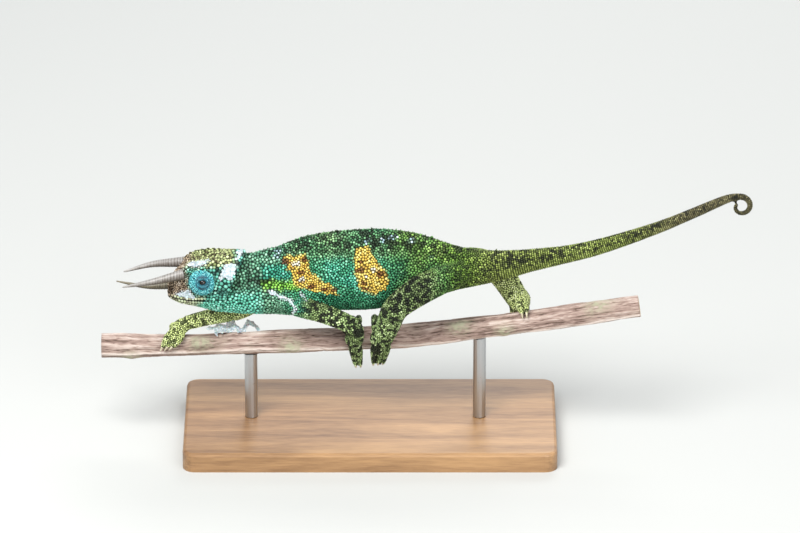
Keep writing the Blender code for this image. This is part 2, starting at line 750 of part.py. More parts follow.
def leg_rings(leg):
    return tube_rings(spline(LEGS[leg], LEG_STEPS), LEG_SIDES)


def build_leg(leg):
    """Upper and lower leg, parted at the elbow or knee; the root follows the body's surface."""
    rings = leg_rings(leg)
    middle = ELBOW * LEG_STEPS
    upper = loft("upper_leg_" + leg, shift_ends(rings[: middle + 1], 0, GAP / 2))
    combine(upper, [grown_torso()], "DIFFERENCE")
    lower = loft("lower_leg_" + leg, shift_ends(leg_rings(leg)[middle:], GAP / 2, GAP / 2))
    paint(upper, SKIN_OLIVE, 0.6)
    paint(lower, SKIN_OLIVE, 0.6)


def grip_point(x, angle, distance):
    centre, _ = branch_at(x)
    turn = math.radians(angle)
    return centre + Vector((0, -math.sin(turn), math.cos(turn))) * distance


def toe(reach, arc, place):
    """One toe along its bundle's arc, with a hooked claw at its end; place counts from the middle."""
    points = []
    for step, (angle, distance) in enumerate(arc):
        x = reach[0] + (reach[1] - reach[0]) * step / (len(arc) - 1)
        points.append(grip_point(x + place * TOE_SPACING[step], angle, distance))
    rows = [(*point, radius) for point, radius in zip(points, TOE_RADII)]
    path = spline(rows, 2)
    end = Vector(path[-1][:3])
    heading = (end - Vector(path[-3][:3])).normalized()
    closed_end = end + heading * TOE_RADII[-1] * 0.6
    flesh = [*path, (*closed_end, TOE_RADII[-1] * 0.6)]
    inward = (branch_at(end.x)[0] - end).normalized()
    hook = closed_end + heading * CLAW_LENGTH * 0.6 + inward * 0.15
    point = closed_end + heading * CLAW_LENGTH + inward * 0.8
    claw = [
        (*(end + heading * 0.1), CLAW_RADIUS),
        (*closed_end, CLAW_RADIUS),
        (*hook, CLAW_RADIUS * 0.7),
        (*point, CLAW_RADIUS * 0.16),
    ]
    return [loft("toe", tube_rings(flesh, TOE_SIDES)), loft("claw", tube_rings(claw, CLAW_SIDES))]


def build_foot(leg):
    """A foot with two opposed bundles of toes that close round the branch like tongs."""
    rows = spline(LEGS[leg], LEG_STEPS)
    wrist = Vector(rows[-1][:3])
    radius = rows[-1][3]
    heading = (wrist - Vector(rows[-2][:3])).normalized()
    roots = [grip_point(reach[0], *arc[0]) for reach, arc, _ in FEET[leg].values()]
    middle = sum(roots, Vector()) / 2
    start = wrist + heading * GAP / 2
    palm = loft("foot_" + leg, tube_rings([
        (*start, radius),
        (*(wrist * 0.5 + middle * 0.5), radius * PALM_RADIUS),
        (*middle, radius * PALM_RADIUS),
        (*(middle + (middle - wrist).normalized() * radius * 0.7), radius * 0.5),
    ], LEG_SIDES))
    pieces = []
    for reach, arc, count in FEET[leg].values():
        for i in range(count):
            pieces += toe(reach, arc, i - (count - 1) / 2)
    combine(palm, pieces, "UNION")
    shin = loft("shin_cutter", tube_rings(rows[ELBOW * LEG_STEPS :], LEG_SIDES, GAP))
    combine(palm, [loft("branch_cutter", branch_rings(GAP)), shin], "DIFFERENCE")
    paint(palm, SKIN_OLIVE, 0.6)


def build_stand():
    """A bevelled base and two rods that end just under the branch."""
    bm = bmesh.new()
    bmesh.ops.create_cube(bm, size=1.0)
    size = (BASE_LENGTH * MM, BASE_WIDTH * MM, BASE_HEIGHT * MM)
    bmesh.ops.scale(bm, vec=size, verts=bm.verts)
    bmesh.ops.translate(bm, vec=(0, 0, BASE_HEIGHT / 2 * MM), verts=bm.verts)
    upright = [edge for edge in bm.edges if abs(edge.verts[0].co.z - edge.verts[1].co.z) > MM]
    bmesh.ops.bevel(bm, geom=upright, offset=BASE_CORNER * MM, segments=5, affect="EDGES", profile=0.5)
    rim = [edge for edge in bm.edges if all(vert.co.z > (BASE_HEIGHT - 0.01) * MM for vert in edge.verts)]
    bmesh.ops.bevel(bm, geom=rim, offset=BASE_EDGE * MM, segments=2, affect="EDGES", profile=0.5)
    base = mesh_object("stand_base", bm)
    paint(base, STAND_OAK, 0.5)
    for name, x in zip(("stand_rod_front", "stand_rod_rear"), ROD_X):
        centre, radius = branch_at(x)
        rows = [(x, 0, BASE_HEIGHT + GAP, ROD_RADIUS), (x, 0, centre.z, ROD_RADIUS)]
        rod = loft(name, tube_rings(rows, ROD_SIDES))
        combine(rod, [loft("branch_cutter", branch_rings(GAP))], "DIFFERENCE")
        paint(rod, ROD_STEEL, 0.35, 1.0)


clear_scene()
build_trunk()
build_head()
build_eyes()
for leg_name in LEGS:
    build_leg(leg_name)
    build_foot(leg_name)
build_branch()
build_stand()
for node in bpy.context.scene.objects:
    node.data.set_sharp_from_angle(angle=math.radians(SMOOTH_ANGLE))
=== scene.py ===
"""The looks of the chameleon model: skin and scales, crest, eyes, horns, claws, branch and stand."""

import math

import bmesh
import bpy
import numpy as np
from mathutils import Matrix, Vector, noise
from mathutils.bvhtree import BVHTree
from mathutils.kdtree import KDTree


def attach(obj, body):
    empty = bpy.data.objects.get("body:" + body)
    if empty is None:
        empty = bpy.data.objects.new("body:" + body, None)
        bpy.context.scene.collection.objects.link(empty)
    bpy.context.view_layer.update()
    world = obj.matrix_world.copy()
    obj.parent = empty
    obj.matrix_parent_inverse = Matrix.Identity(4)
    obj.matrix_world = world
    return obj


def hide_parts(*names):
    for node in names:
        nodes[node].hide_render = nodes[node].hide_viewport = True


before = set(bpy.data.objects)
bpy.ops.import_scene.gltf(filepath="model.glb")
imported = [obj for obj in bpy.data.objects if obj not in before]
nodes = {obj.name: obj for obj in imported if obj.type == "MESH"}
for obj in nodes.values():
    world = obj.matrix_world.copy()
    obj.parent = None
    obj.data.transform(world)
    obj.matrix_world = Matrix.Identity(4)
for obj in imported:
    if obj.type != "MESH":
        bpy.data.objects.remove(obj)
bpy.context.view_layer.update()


# Skin. A chameleon's skin is one thin, dry sheet that runs over head, body, legs and toes with
# no seam. Only its ground shows here, in the creases between the scales that grow on it; it is
# darkened there, partly as the skin's own dark tone and partly as painted shade in the creases.
MM = 0.001
FLESH = ("head", "lower_jaw", "neck", "torso", "tail_", "upper_leg_", "lower_leg_", "foot_")
# Each solid swells by this, so that the gaps of 0.3 mm between them close as they fuse.
SWELL = 0.25
# The grain of the fused skin in mm, and how many rounds of smoothing take off its steps.
SKIN_VOXEL = 0.53
SMOOTHING = 5
# How far the skin lies inside the solids, in mm: the height of the scales of each part.
COAT_DEPTH = {"head": 0.24, "lower": 0.24, "neck": 0.28, "torso": 0.28, "tail": 0.2,
              "upper": 0.24, "foot": 0.18, "eye": 0.3}
# The most, in mm, that the skin is moved out and in to lie at that depth.
FITTING_LIMITS = (-0.5, 0.9)
# How deep the skin sinks between two toes and along the mouth.
TOE_FURROW, MOUTH_FURROW = 0.55, 0.5
# The flesh draws back from each claw within this length and this distance of its line.
CLAW_LENGTH, CLAW_ROOM = 3.2, 1.0
# The ground's colour is the markings' colour times this: partly the skin's own darker tone, partly painted
# shade between the scales.
GROUND_DARKNESS_AND_PAINTED_SHADE = 0.13
# Markings are placed by the height at which they show from 25 degrees above level: a place's own
# height less this much for each mm that it stands out from the middle plane.
VIEW_SLOPE = 0.4663

# The branch that the toes grip: x, height of its middle and radius.
BRANCH_X, BRANCH_Z, BRANCH_RADIUS = zip(
    (-108.0, 39.6, 4.9), (-84.0, 39.5, 4.5), (-60.0, 40.3, 4.5), (-36.0, 41.3, 4.7), (0.0, 43.0, 4.8),
    (20.0, 44.3, 4.7), (68.0, 50.9, 4.5), (108.0, 57.1, 4.6))
# The two bundles of toes of each foot: x at root and tips, angle and distance pairs round the
# branch from root to tips, and the count of toes.
TOE_BUNDLES = {
    "foot_front_left": (((-6.2, -4.9), ((70, 9.4), (95, 8.7), (124, 8.5), (146, 10.6)), 2),
                        ((-7.4, -7.0), ((48, 9.2), (8, 8.8), (-38, 8.0), (-78, 7.0)), 3)),
    "foot_front_right": (((-77.8, -81.2), ((26, 7.9), (42, 7.3), (56, 6.9), (68, 6.6)), 3),
                         ((-77.6, -79.0), ((4, 8.4), (-36, 7.8), (-76, 7.2), (-108, 6.8)), 2)),
    "foot_hind_left": (((4.6, 3.3), ((74, 9.8), (96, 9.0), (122, 8.6), (143, 10.2)), 3),
                       ((3.2, 3.0), ((46, 9.6), (6, 9.0), (-40, 7.8), (-82, 7.0)), 2)),
    "foot_hind_right": (((60.4, 61.6), ((-34, 9.2), (-10, 8.4), (12, 7.8), (30, 7.0)), 2),
                        ((60.0, 60.4), ((-36, 9.4), (-68, 7.8), (-104, 7.2), (-136, 6.8)), 3)),
}
TOE_SPACING = (2.0, 2.6, 2.3, 2.0)
TOE_TIP = 0.6
TOE_GROOVE_WIDTH = 0.42
MOUTH_LINE = ((-84.0, 62.9), (-79.0, 62.4), (-72.0, 62.5), (-66.0, 63.3), (-62.4, 63.0))
MOUTH_WIDTH = 0.32
NOSTRIL, NOSTRIL_RADIUS = (-78.5, 4.3, 68.6), 0.6
HEAD_ROLL = 6.0
HEAD_PIVOT_Z = 68.0


def branch_centre(x):
    """The middle of the branch at x, in mm."""
    return Vector((x, 0, float(np.interp(x, BRANCH_X, BRANCH_Z))))


def toe_ends():
    """Where each toe's flesh ends, the way it points, and the way to the branch, in mm."""
    ends = []
    for (root_x, tip_x), arc, count in sum(TOE_BUNDLES.values(), ()):
        for i in range(count):
            place = i - (count - 1) / 2
            points = []
            for share, spacing, (angle, distance) in zip((2 / 3, 1), TOE_SPACING[2:], arc[2:]):
                turn = math.radians(angle)
                centre = branch_centre(root_x + (tip_x - root_x) * share + place * spacing)
                points.append(centre + Vector((0, -math.sin(turn), math.cos(turn))) * distance)
            heading = (points[1] - points[0]).normalized()
            inward = (branch_centre(points[1].x) - points[1]).normalized()
            ends.append((points[1] + heading * TOE_TIP, heading, inward))
    return ends


def toe_gaps(mm, part):
    """How near each place in mm is to a groove between two toes, from 0 to 1."""
    near = np.zeros(len(mm))
    turn = np.degrees(np.arctan2(-mm[:, 1], mm[:, 2] - np.interp(mm[:, 0], BRANCH_X, BRANCH_Z)))
    for foot, bundles in TOE_BUNDLES.items():
        middle = (bundles[0][1][0][0] + bundles[1][1][0][0]) / 2
        for (root_x, tip_x), arc, count in bundles:
            sign = 1 if arc[-1][0] > arc[0][0] else -1
            share = np.interp(turn * sign, [angle * sign for angle, _ in arc], (0, 1 / 3, 2 / 3, 1))
            spacing = np.interp(share * 3, (0, 1, 2, 3), TOE_SPACING)
            chosen = (part == foot) & (turn * sign > middle * sign)
            for gap in range(count - 1):
                line = root_x + (tip_x - root_x) * share + (gap + 1 - count / 2) * spacing
                closeness = np.exp(-(((mm[:, 0] - line) / TOE_GROOVE_WIDTH) ** 2)) * ramp(share, 0.15, 0.5)
                near = np.where(chosen, np.maximum(near, closeness), near)
    return near


def mouth_gap(mm, part):
    """How near each place in mm is to the line of the mouth or to a nostril, from 0 to 1."""
    turn = math.radians(-HEAD_ROLL)
    y = mm[:, 1] * math.cos(turn) - (mm[:, 2] - HEAD_PIVOT_Z) * math.sin(turn)
    z = mm[:, 1] * math.sin(turn) + (mm[:, 2] - HEAD_PIVOT_Z) * math.cos(turn) + HEAD_PIVOT_Z
    line = np.interp(mm[:, 0], *zip(*MOUTH_LINE))
    mouth = np.exp(-(((z - line) / MOUTH_WIDTH) ** 2)) * ramp(mm[:, 0], -62.2, -67.0)
    away = np.linalg.norm(np.column_stack([mm[:, 0], np.abs(y), z]) - np.array(NOSTRIL), axis=1)
    nostril = np.exp(-((away / NOSTRIL_RADIUS) ** 2))
    return np.maximum(mouth, nostril) * np.isin(part, ("head", "lower_jaw"))


def linear(code):
    """The linear colour of an sRGB hex code."""
    values = np.array([int(code[i : i + 2], 16) / 255 for i in (1, 3, 5)])
    return np.where(values <= 0.04045, values / 12.92, ((values + 0.055) / 1.055) ** 2.4)


def ramp(values, low, high):
    """0 at low and 1 at high, eased at both ends."""
    share = np.clip((values - low) / (high - low), 0, 1)
    return share * share * (3 - 2 * share)


def grain(points, size, seed):
    """Smooth noise from -1 to 1 with lumps of this size in mm."""
    shift = Vector((seed * 17.3, seed * 5.9, seed * 11.1))
    found = [noise.noise(Vector(point) / (size * MM) + shift) for point in points.tolist()]
    return np.clip(np.array(found) * 1.7, -1, 1)


def shade(share, tones):
    """Dark, middle and bright tones mixed by a share from 0 to 1."""
    dark, middle, bright = (linear(tone) for tone in tones)
    share = share[:, None]
    low = dark + (middle - dark) * np.clip(share * 2, 0, 1)
    return low + (bright - middle) * np.clip(share * 2 - 1, 0, 1)


def inside(x, w, outline, soft):
    """1 inside an outline, 0 outside, with an edge this soft in mm."""
    corners = np.array(outline)
    nearest = np.full(len(x), np.inf)
    within = np.zeros(len(x), bool)
    for (ax, aw), (bx, bw) in zip(corners, np.roll(corners, -1, axis=0)):
        t = np.clip(((x - ax) * (bx - ax) + (w - aw) * (bw - aw)) / ((bx - ax) ** 2 + (bw - aw) ** 2), 0, 1)
        nearest = np.minimum(nearest, np.hypot(x - ax - t * (bx - ax), w - aw - t * (bw - aw)))
        within ^= ((aw > w) != (bw > w)) & (x < (bx - ax) * (w - aw) / (bw - aw + 1e-9) + ax)
    return ramp(np.where(within, nearest, -nearest), -soft, soft)


def spot(x, w, centre, size):
    """1 at the middle of an oval spot, 0 outside."""
    return 1 - ramp(np.hypot((x - centre[0]) / size[0], (w - centre[1]) / size[1]), 0.75, 1.15)


# Two orange-yellow blotches on each flank, as outlines of x and shown height in mm, with brown
# and cream spots in them, and frosty spots above. A spot is its middle and its two half widths.
FRONT_BLOTCH = ((-34.4, 79.2), (-26.0, 80.1), (-24.4, 76.1), (-22.8, 71.7), (-18.8, 68.2), (-14.0, 65.1),
                (-12.8, 62.4), (-17.2, 61.8), (-24.4, 64.6), (-29.2, 65.9), (-31.2, 69.0), (-32.8, 74.3))
REAR_BLOTCH = ((-4.8, 83.2), (0.0, 83.2), (1.6, 78.3), (5.2, 74.3), (7.6, 69.0), (6.4, 64.6), (1.6, 62.0),
               (-3.2, 63.7), (-4.8, 66.4), (-6.4, 71.7), (-6.4, 78.3))
BROWN_SPOTS = (((-33.6, 76.5), (1.5, 1.6)), ((-26.0, 77.4), (1.2, 1.2)), ((-27.2, 72.4), (1.3, 0.9)),
               ((-23.2, 66.0), (1.9, 1.0)), ((-18.2, 64.6), (2.0, 1.0)), ((-14.4, 64.6), (1.2, 1.2)),
               ((-3.8, 76.5), (1.2, 1.0)), ((-3.8, 73.0), (1.9, 1.1)), ((4.2, 71.0), (2.0, 1.5)),
               ((-2.4, 67.3), (1.5, 1.0)), ((-1.0, 64.4), (1.4, 0.8)))
CREAM_SPOTS = (((1.6, 72.8), (0.9, 0.9)), ((-1.6, 70.4), (0.9, 0.9)), ((-30.0, 75.7), (1.7, 1.2)),
               ((-27.0, 69.0), (1.2, 1.0)))
PALE_SPOTS = (((-37.0, 80.0), (1.6, 2.4)), ((-0.8, 85.8), (0.9, 1.4)), ((5.2, 86.0), (0.9, 1.0)),
              ((9.5, 87.2), (2.4, 1.2)), ((16.8, 86.2), (2.2, 1.2)), ((24.8, 78.7), (1.7, 0.8)))
# Smaller fields of one colour: over the shoulder, under it, along its dark edge, and on the jaw.
TEAL_SHOULDER = ((-43, 75.2), (-33, 75.2), (-32, 69), (-43, 69))
LIME_BAR = ((-44, 68.4), (-38, 69), (-29, 67.5), (-29, 64), (-43, 64.4))
LIME_EDGE = ((-49, 69.4), (-39, 68.4), (-37, 67.2), (-44, 67.0), (-49, 68.0))
JAW_PATCH = ((-71, 61.5), (-66.5, 61.3), (-66.8, 58.8), (-71, 59.3))
# White patches where old skin is loose, on the left side only.
SHED_PATCHES = {
    "casque_side": ((-58.4, 75.2), (-55.5, 76.1), (-53.2, 75.5), (-53.7, 72.3), (-54.7, 68.6), (-56.8, 68.9),
                    (-58.1, 69.4), (-59.9, 67.7), (-60.3, 69.2), (-59.1, 71.7)),
    "casque_edge": ((-53.4, 81.2), (-51.8, 81.8), (-50.3, 82.6), (-50.0, 81.2), (-51.6, 79.2), (-52.4, 76.9),
                    (-53.4, 78.0), (-52.9, 79.8)),
    "orbit": ((-73.4, 75.2), (-70.0, 76.6), (-66.4, 77.2), (-64.3, 77.9), (-63.9, 76.9), (-65.6, 75.6),
              (-68.5, 74.9), (-71.6, 74.6)),
    "lip": ((-78.4, 62.9), (-75.8, 63.4), (-72.6, 64.6), (-71.6, 63.1), (-69.8, 61.1), (-70.6, 60.3),
            (-73.7, 60.6), (-76.8, 61.7)),
    "shoulder": ((-41.2, 64.8), (-40.0, 64.0), (-38.4, 63.7), (-36.0, 62.2), (-33.6, 61.3), (-31.2, 59.8),
                 (-29.6, 57.1), (-29.4, 54.9), (-30.6, 52.9), (-31.2, 53.6), (-30.6, 55.8), (-31.2, 57.8),
                 (-32.8, 59.5), (-35.6, 60.4), (-38.0, 61.5), (-39.6, 62.0), (-40.6, 63.3)),
    "flank": ((-27.8, 63.7), (-26.8, 62.6), (-25.6, 61.5), (-25.4, 60.0), (-26.8, 60.9), (-27.8, 62.2)),
}
# The middle line of rump and tail: x and height.
TAIL_AXIS = ((37.0, 74.1), (57.0, 75.9), (76.2, 79.5), (88.5, 82.4), (112.0, 90.6), (143.2, 104.6))
# Shaded, middle and bright tone of each field of colour, and the dark inks of specks and folds.
TONES = {
    "flank": ("#105238", "#3c8c64", "#86d2ae"),
    "teal": ("#17654e", "#3fa488", "#92e0ca"),
    "back": ("#1e3820", "#648e5a", "#b4d69c"),
    "belly": ("#105038", "#35835c", "#6cb890"),
    "rear": ("#223c10", "#6a9440", "#b4d078"),
    "rump": ("#22380c", "#587a28", "#9cb850"),
    "neck": ("#183c28", "#5c9474", "#b2dec0"),
    "throat": ("#2c7a5e", "#70cab0", "#b8f2e0"),
    "lime": ("#2c5a14", "#7cba3c", "#c8e878"),
    "tail": ("#333a14", "#7a8840", "#bcc878"),
    "tail_end": ("#2e2a18", "#6a6444", "#a09a72"),
    "near_leg": ("#1a260e", "#6c7f4e", "#b8c898"),
    "far_leg": ("#727e44", "#c6d288", "#ecf2c4"),
    "frost": ("#5f7c84", "#9fb8c2", "#d2e0e6"),
    "snout": ("#50402e", "#a8947c", "#e6dccf"),
    "casque": ("#5c6638", "#a8b078", "#dfe6b8"),
    "cheek": ("#14423a", "#64b29c", "#c2f4e2"),
    "lip": ("#5c6644", "#b8c29a", "#e8eed8"),
    "blotch": ("#a07828", "#d6b954", "#f4ec9c"),
    "white": ("#8e9898", "#c8d0d2", "#f2f5f6"),
}
INKS = {"black": "#10140c", "blotch": "#5a2c12", "head_top": "#3a2616", "fold": "#0c241c",
        "far_leg": "#2c3416"}


def markings(points, parts, draw):
    """The colour of each place on the skin, from its part's name and a random draw from 0 to 1, with painted
    shade in the creases of toes, mouth and nostrils.
    """
    mm = points / MM
    part = np.array(parts).astype(str)
    painted_crease_shade = np.maximum(toe_gaps(mm, part), mouth_gap(mm, part))
    wander = np.column_stack([grain(points, 2.2, 1), grain(points, 2.2, 2)]) * 0.7
    x = mm[:, 0] + wander[:, 0]
    w = mm[:, 2] - VIEW_SLOPE * np.abs(mm[:, 1]) + wander[:, 1]
    lumps = grain(points, 3.4, 3)
    broad = grain(points, 9.0, 4)
    tone = np.clip(0.42 + 0.2 * grain(points, 1.5, 5) + 0.5 * (draw - 0.5) + 0.1 * broad, 0, 1)
    colours = {name: shade(tone, tones) for name, tones in TONES.items()}

    def mixed(base, name, share):
        return base + (colours[name] - base) * np.clip(share, 0, 1)[:, None]

    def inked(base, name, share):
        return base + (linear(INKS[name]) - base) * share[:, None]

    # The body from neck to rump: green back, teal flanks, dark belly and a yellower rear.
    body = colours["flank"]
    body = mixed(body, "teal", ramp(broad, 0.1, 0.7) * 0.7)
    body = mixed(body, "back", ramp(w, 74, 82) * (0.75 + 0.3 * broad))
    body = mixed(body, "belly", ramp(w, 64, 57) * ramp(x, -34, -20))
    body = mixed(body, "rear", ramp(x, 4, 15) * (0.75 + 0.4 * broad))
    body = mixed(body, "rump", ramp(x, 24, 36))
    body = mixed(body, "neck", ramp(x, -30, -37))
    body = mixed(body, "teal", inside(x, w, TEAL_SHOULDER, 1.2) * 0.9)
    body = mixed(body, "lime", inside(x, w, LIME_BAR, 1.0) * 0.9)
    body = mixed(body, "throat", ramp(w, 66, 60) * ramp(x, -41, -46))
    tail = mixed(colours["tail"], "tail_end", ramp(x, 96, 128))
    body = mixed(body, "tail", ramp(x, 34, 52))
    body[x > 52] = tail[x > 52]

    # Black scales lie in clusters along the back, over the rear and down the tail.
    along_back = ramp(w, 77, 83) * ramp(x, -48, -40) * ramp(x, 60, 46)
    clusters = ramp(0.6 * lumps + 0.6 * grain(points, 1.5, 6) + 0.12 * along_back, 0.16, 0.34)
    speckled = np.maximum(0.85 * along_back, 0.55 * ramp(x, 8, 20) * ramp(x, 60, 44))
    speckled = np.maximum(speckled, 0.5 * ramp(x, -38, -46) * ramp(w, 60, 66))
    over_line = mm[:, 2] - np.interp(x, *zip(*TAIL_AXIS))
    speckled = np.maximum(speckled, ramp(x, 38, 52) * (0.25 + 0.65 * ramp(over_line, -1.0, 0.8)))
    fine = ramp(grain(points, 1.1, 7), 0.25, 0.5)
    black = np.maximum(clusters, fine * 0.8) * speckled
    streaks = ramp(grain(points * np.array([0.35, 1, 1]), 1.6, 8), 0.15, 0.4)
    black = np.maximum(black, streaks * ramp(w, 64, 60) * ramp(x, -24, -14) * ramp(x, 30, 18) * 0.5)
    black = np.maximum(black, inside(x, w, LIME_EDGE, 0.6) * 0.85)
    body = inked(body, "black", black)

    for outline in (FRONT_BLOTCH, REAR_BLOTCH):
        body = mixed(body, "blotch", inside(x, w, outline, 0.5))
    for centre, size in BROWN_SPOTS:
        body = inked(body, "blotch", spot(x, w, centre, size) * 0.9)
    for centre, size in CREAM_SPOTS:
        body = mixed(body, "white", spot(x, w, centre, size) * 0.7)
    for centre, size in PALE_SPOTS:
        body = mixed(body, "frost", spot(x, w, centre, size) * np.where(draw > 0.35, 0.8, 0.1))

    # The head: tan snout, yellow-green brow and casque, teal cheeks and throat.
    head = colours["cheek"]
    head = mixed(head, "throat", ramp(w, 62, 58) * ramp(x, -72, -66))
    head = mixed(head, "casque", ramp(w, 73.4, 75.2) * ramp(x, -52.5, -55))
    head = mixed(head, "snout", ramp(x + 0.25 * (w - 70) - 0.9 * np.clip(w - 74, 0, None), -71, -75))
    head = mixed(head, "lip", ramp(w, 62.5, 60.5) * ramp(x, -67, -72))
    head = mixed(head, "lip", inside(x, w, JAW_PATCH, 0.6))
    specks = ramp(grain(points, 1.0, 9) + 0.3 * grain(points, 2.8, 10), 0.16, 0.36)
    on_top = np.maximum(ramp(x, -68, -74), ramp(w, 74, 77))
    head = inked(head, "head_top", specks * on_top * 0.75)
    folds = ramp(grain(points, 1.9, 11), 0.2, 0.45) * (1 - on_top) * ramp(w, 61, 65)
    head = inked(head, "fold", folds * 0.7)

    # Legs: olive with black mottling on the left, yellower with small dark spots on the right.
    near = mixed(colours["near_leg"], "rump", ramp(w, 66, 76) * 0.5)
    near = inked(near, "black", ramp(grain(points, 1.9, 12) + 0.35 * lumps, 0.1, 0.24) * 0.95)
    far = inked(colours["far_leg"], "far_leg", ramp(grain(points, 1.7, 13), 0.32, 0.5) * 0.85)
    right = np.char.endswith(part, "right")
    # The left legs are painted up to 1.6 times brighter towards their lower ends: painted light that offsets
    # the shade falling there.
    limb = np.where(right[:, None], far, near * (1 + 0.6 * ramp(w, 62, 50))[:, None])
    joined = np.where(x < 0, ramp(x, -33, -22), ramp(x, 31, 22))
    joined = np.where(right, np.where(x < 0, ramp(x, -38, -46), ramp(x, 42, 50)), joined)
    limb = body + (limb - body) * joined[:, None]

    is_head = np.isin(part, ("head", "lower_jaw"))
    is_limb = np.char.startswith(part, "upper") | np.char.startswith(part, "foot")
    is_limb |= np.char.startswith(part, "lower_leg")
    found = np.where(is_head[:, None], head, np.where(is_limb[:, None], limb, body))
    # Old skin is loose on the left side only, up to just past the ridge of the back.
    left = mm[:, 1] < 1.0
    for outline in SHED_PATCHES.values():
        found = found + (colours["white"] - found) * (inside(x, w, outline, 0.5) * left * 0.9)[:, None]
    # Toe grooves, the mouth line and the nostrils are darkened by up to 0.6: painted shade in these creases.
    return found * (1 - 0.6 * painted_crease_shade)[:, None]


def cad_lookup(names):
    """A search tree over the faces of these nodes, and the name of the node of each face."""
    points, faces, owners = [], [], []
    for name in names:
        start = len(points)
        points += [vert.co.copy() for vert in nodes[name].data.vertices]
        faces += [[start + i for i in face.vertices] for face in nodes[name].data.polygons]
        owners += [name] * (len(faces) - len(owners))
    return BVHTree.FromPolygons(points, faces), owners


def vertex_values(mesh, what):
    """A row of three values for each vertex: its place (co) or its normal."""
    values = np.empty(len(mesh.vertices) * 3)
    mesh.vertices.foreach_get(what, values)
    return values.reshape(-1, 3)


def new_object(name, mesh):
    """A new object at the origin, in the scene."""
    obj = bpy.data.objects.new(name, mesh)
    bpy.context.scene.collection.objects.link(obj)
    return obj


def add_node(tree, kind, settings=(), links=()):
    """Adds a shader node: settings are its fields and socket values, links its inputs' sources."""
    node = tree.nodes.new(kind)
    for key, value in dict(settings).items():
        if isinstance(key, str) and hasattr(node, key):
            setattr(node, key, value)
        else:
            node.inputs[key].default_value = value
    for key, source in dict(links).items():
        tree.links.new(source, node.inputs[key])
    return node


def add_place(tree, stretch=(1.0, 1.0, 1.0)):
    """The place on a piece in metres; what reads it is drawn out along an axis with a small stretch."""
    place = add_node(tree, "ShaderNodeTexCoord")
    mapping = add_node(tree, "ShaderNodeMapping", {"Scale": stretch}, {"Vector": place.outputs["Object"]})
    return mapping.outputs["Vector"]


def add_noise(tree, place, scale, detail, **settings):
    """Soft noise from 0 to 1, with this many lumps to a metre."""
    settings = {"Scale": scale, "Detail": detail, **settings}
    return add_node(tree, "ShaderNodeTexNoise", settings, {"Vector": place}).outputs["Fac"]


def add_bump(tree, shader, height, strength, depth, invert=False):
    """Raises a surface by a height value, as seen, to this depth in mm."""
    settings = {"Strength": strength, "Distance": depth * MM, "invert": invert}
    bump = add_node(tree, "ShaderNodeBump", settings, {"Height": height})
    tree.links.new(bump.outputs["Normal"], shader.inputs["Normal"])


def add_ramp(tree, value, stops):
    """The colours of a value, from stops of position and colour code."""
    node = add_node(tree, "ShaderNodeValToRGB", {}, {"Fac": value})
    elements = node.color_ramp.elements
    for element, (position, code) in zip((elements[0], elements[1]), (stops[0], stops[-1])):
        element.position, element.color = position, (*linear(code), 1)
    for position, code in stops[1:-1]:
        elements.new(position).color = (*linear(code), 1)
    return node.outputs["Color"]


def new_material(name, settings):
    """A material with its shader's uniform values set on the shader itself."""
    material = bpy.data.materials.new(name)
    material.use_nodes = True
    shader = material.node_tree.nodes["Principled BSDF"]
    for key, value in settings.items():
        shader.inputs[key].default_value = value
    return material, material.node_tree, shader


def loose_scraps(bm):
    """The vertices outside the largest connected body."""
    seen, bodies = set(), []
    for start in bm.verts:
        if start not in seen:
            seen.add(start)
            body = [start]
            for vert in body:
                for edge in vert.link_edges:
                    other = edge.other_vert(vert)
                    if other not in seen:
                        seen.add(other)
                        body.append(other)
            bodies.append(body)
    largest = max(bodies, key=len)
    return [vert for body in bodies if body is not largest for vert in body]


flesh = [name for name in nodes if name.startswith(FLESH)]
joined = bmesh.new()
for name in flesh + ["eye_left", "eye_right"]:
    joined.from_mesh(nodes[name].data)
bmesh.ops.remove_doubles(joined, verts=joined.verts, dist=1e-6)
joined.normal_update()
for vert in joined.verts:
    vert.co += vert.normal * SWELL * MM
rough_skin = new_object("rough_skin", bpy.data.meshes.new("rough_skin"))
joined.to_mesh(rough_skin.data)
joined.free()
remesh = rough_skin.modifiers.new("remesh", "REMESH")
remesh.mode = "VOXEL"
remesh.voxel_size = SKIN_VOXEL * MM
smooth = rough_skin.modifiers.new("smooth", "SMOOTH")
smooth.factor = 0.5
smooth.iterations = SMOOTHING
fused = rough_skin.evaluated_get(bpy.context.evaluated_depsgraph_get())
skin = new_object("skin", bpy.data.meshes.new_from_object(fused))
bpy.data.objects.remove(rough_skin)
whole = bmesh.new()
whole.from_mesh(skin.data)
bmesh.ops.delete(whole, geom=loose_scraps(whole), context="VERTS")
whole.to_mesh(skin.data)
whole.free()

edges = np.empty(len(skin.data.edges) * 2, int)
skin.data.edges.foreach_get("vertices", edges)
edge_ends = np.concatenate([edges[0::2], edges[1::2]])
edge_starts = np.concatenate([edges[1::2], edges[0::2]])
neighbours = np.bincount(edge_ends)


def spread(values, rounds):
    """Averages each skin vertex's row of values with its neighbours' rows."""
    for _ in range(rounds):
        totals = [np.bincount(edge_ends, column[edge_starts], len(column)) for column in values.T]
        values = (values + np.column_stack(totals)) / (1 + neighbours)[:, None]
    return values


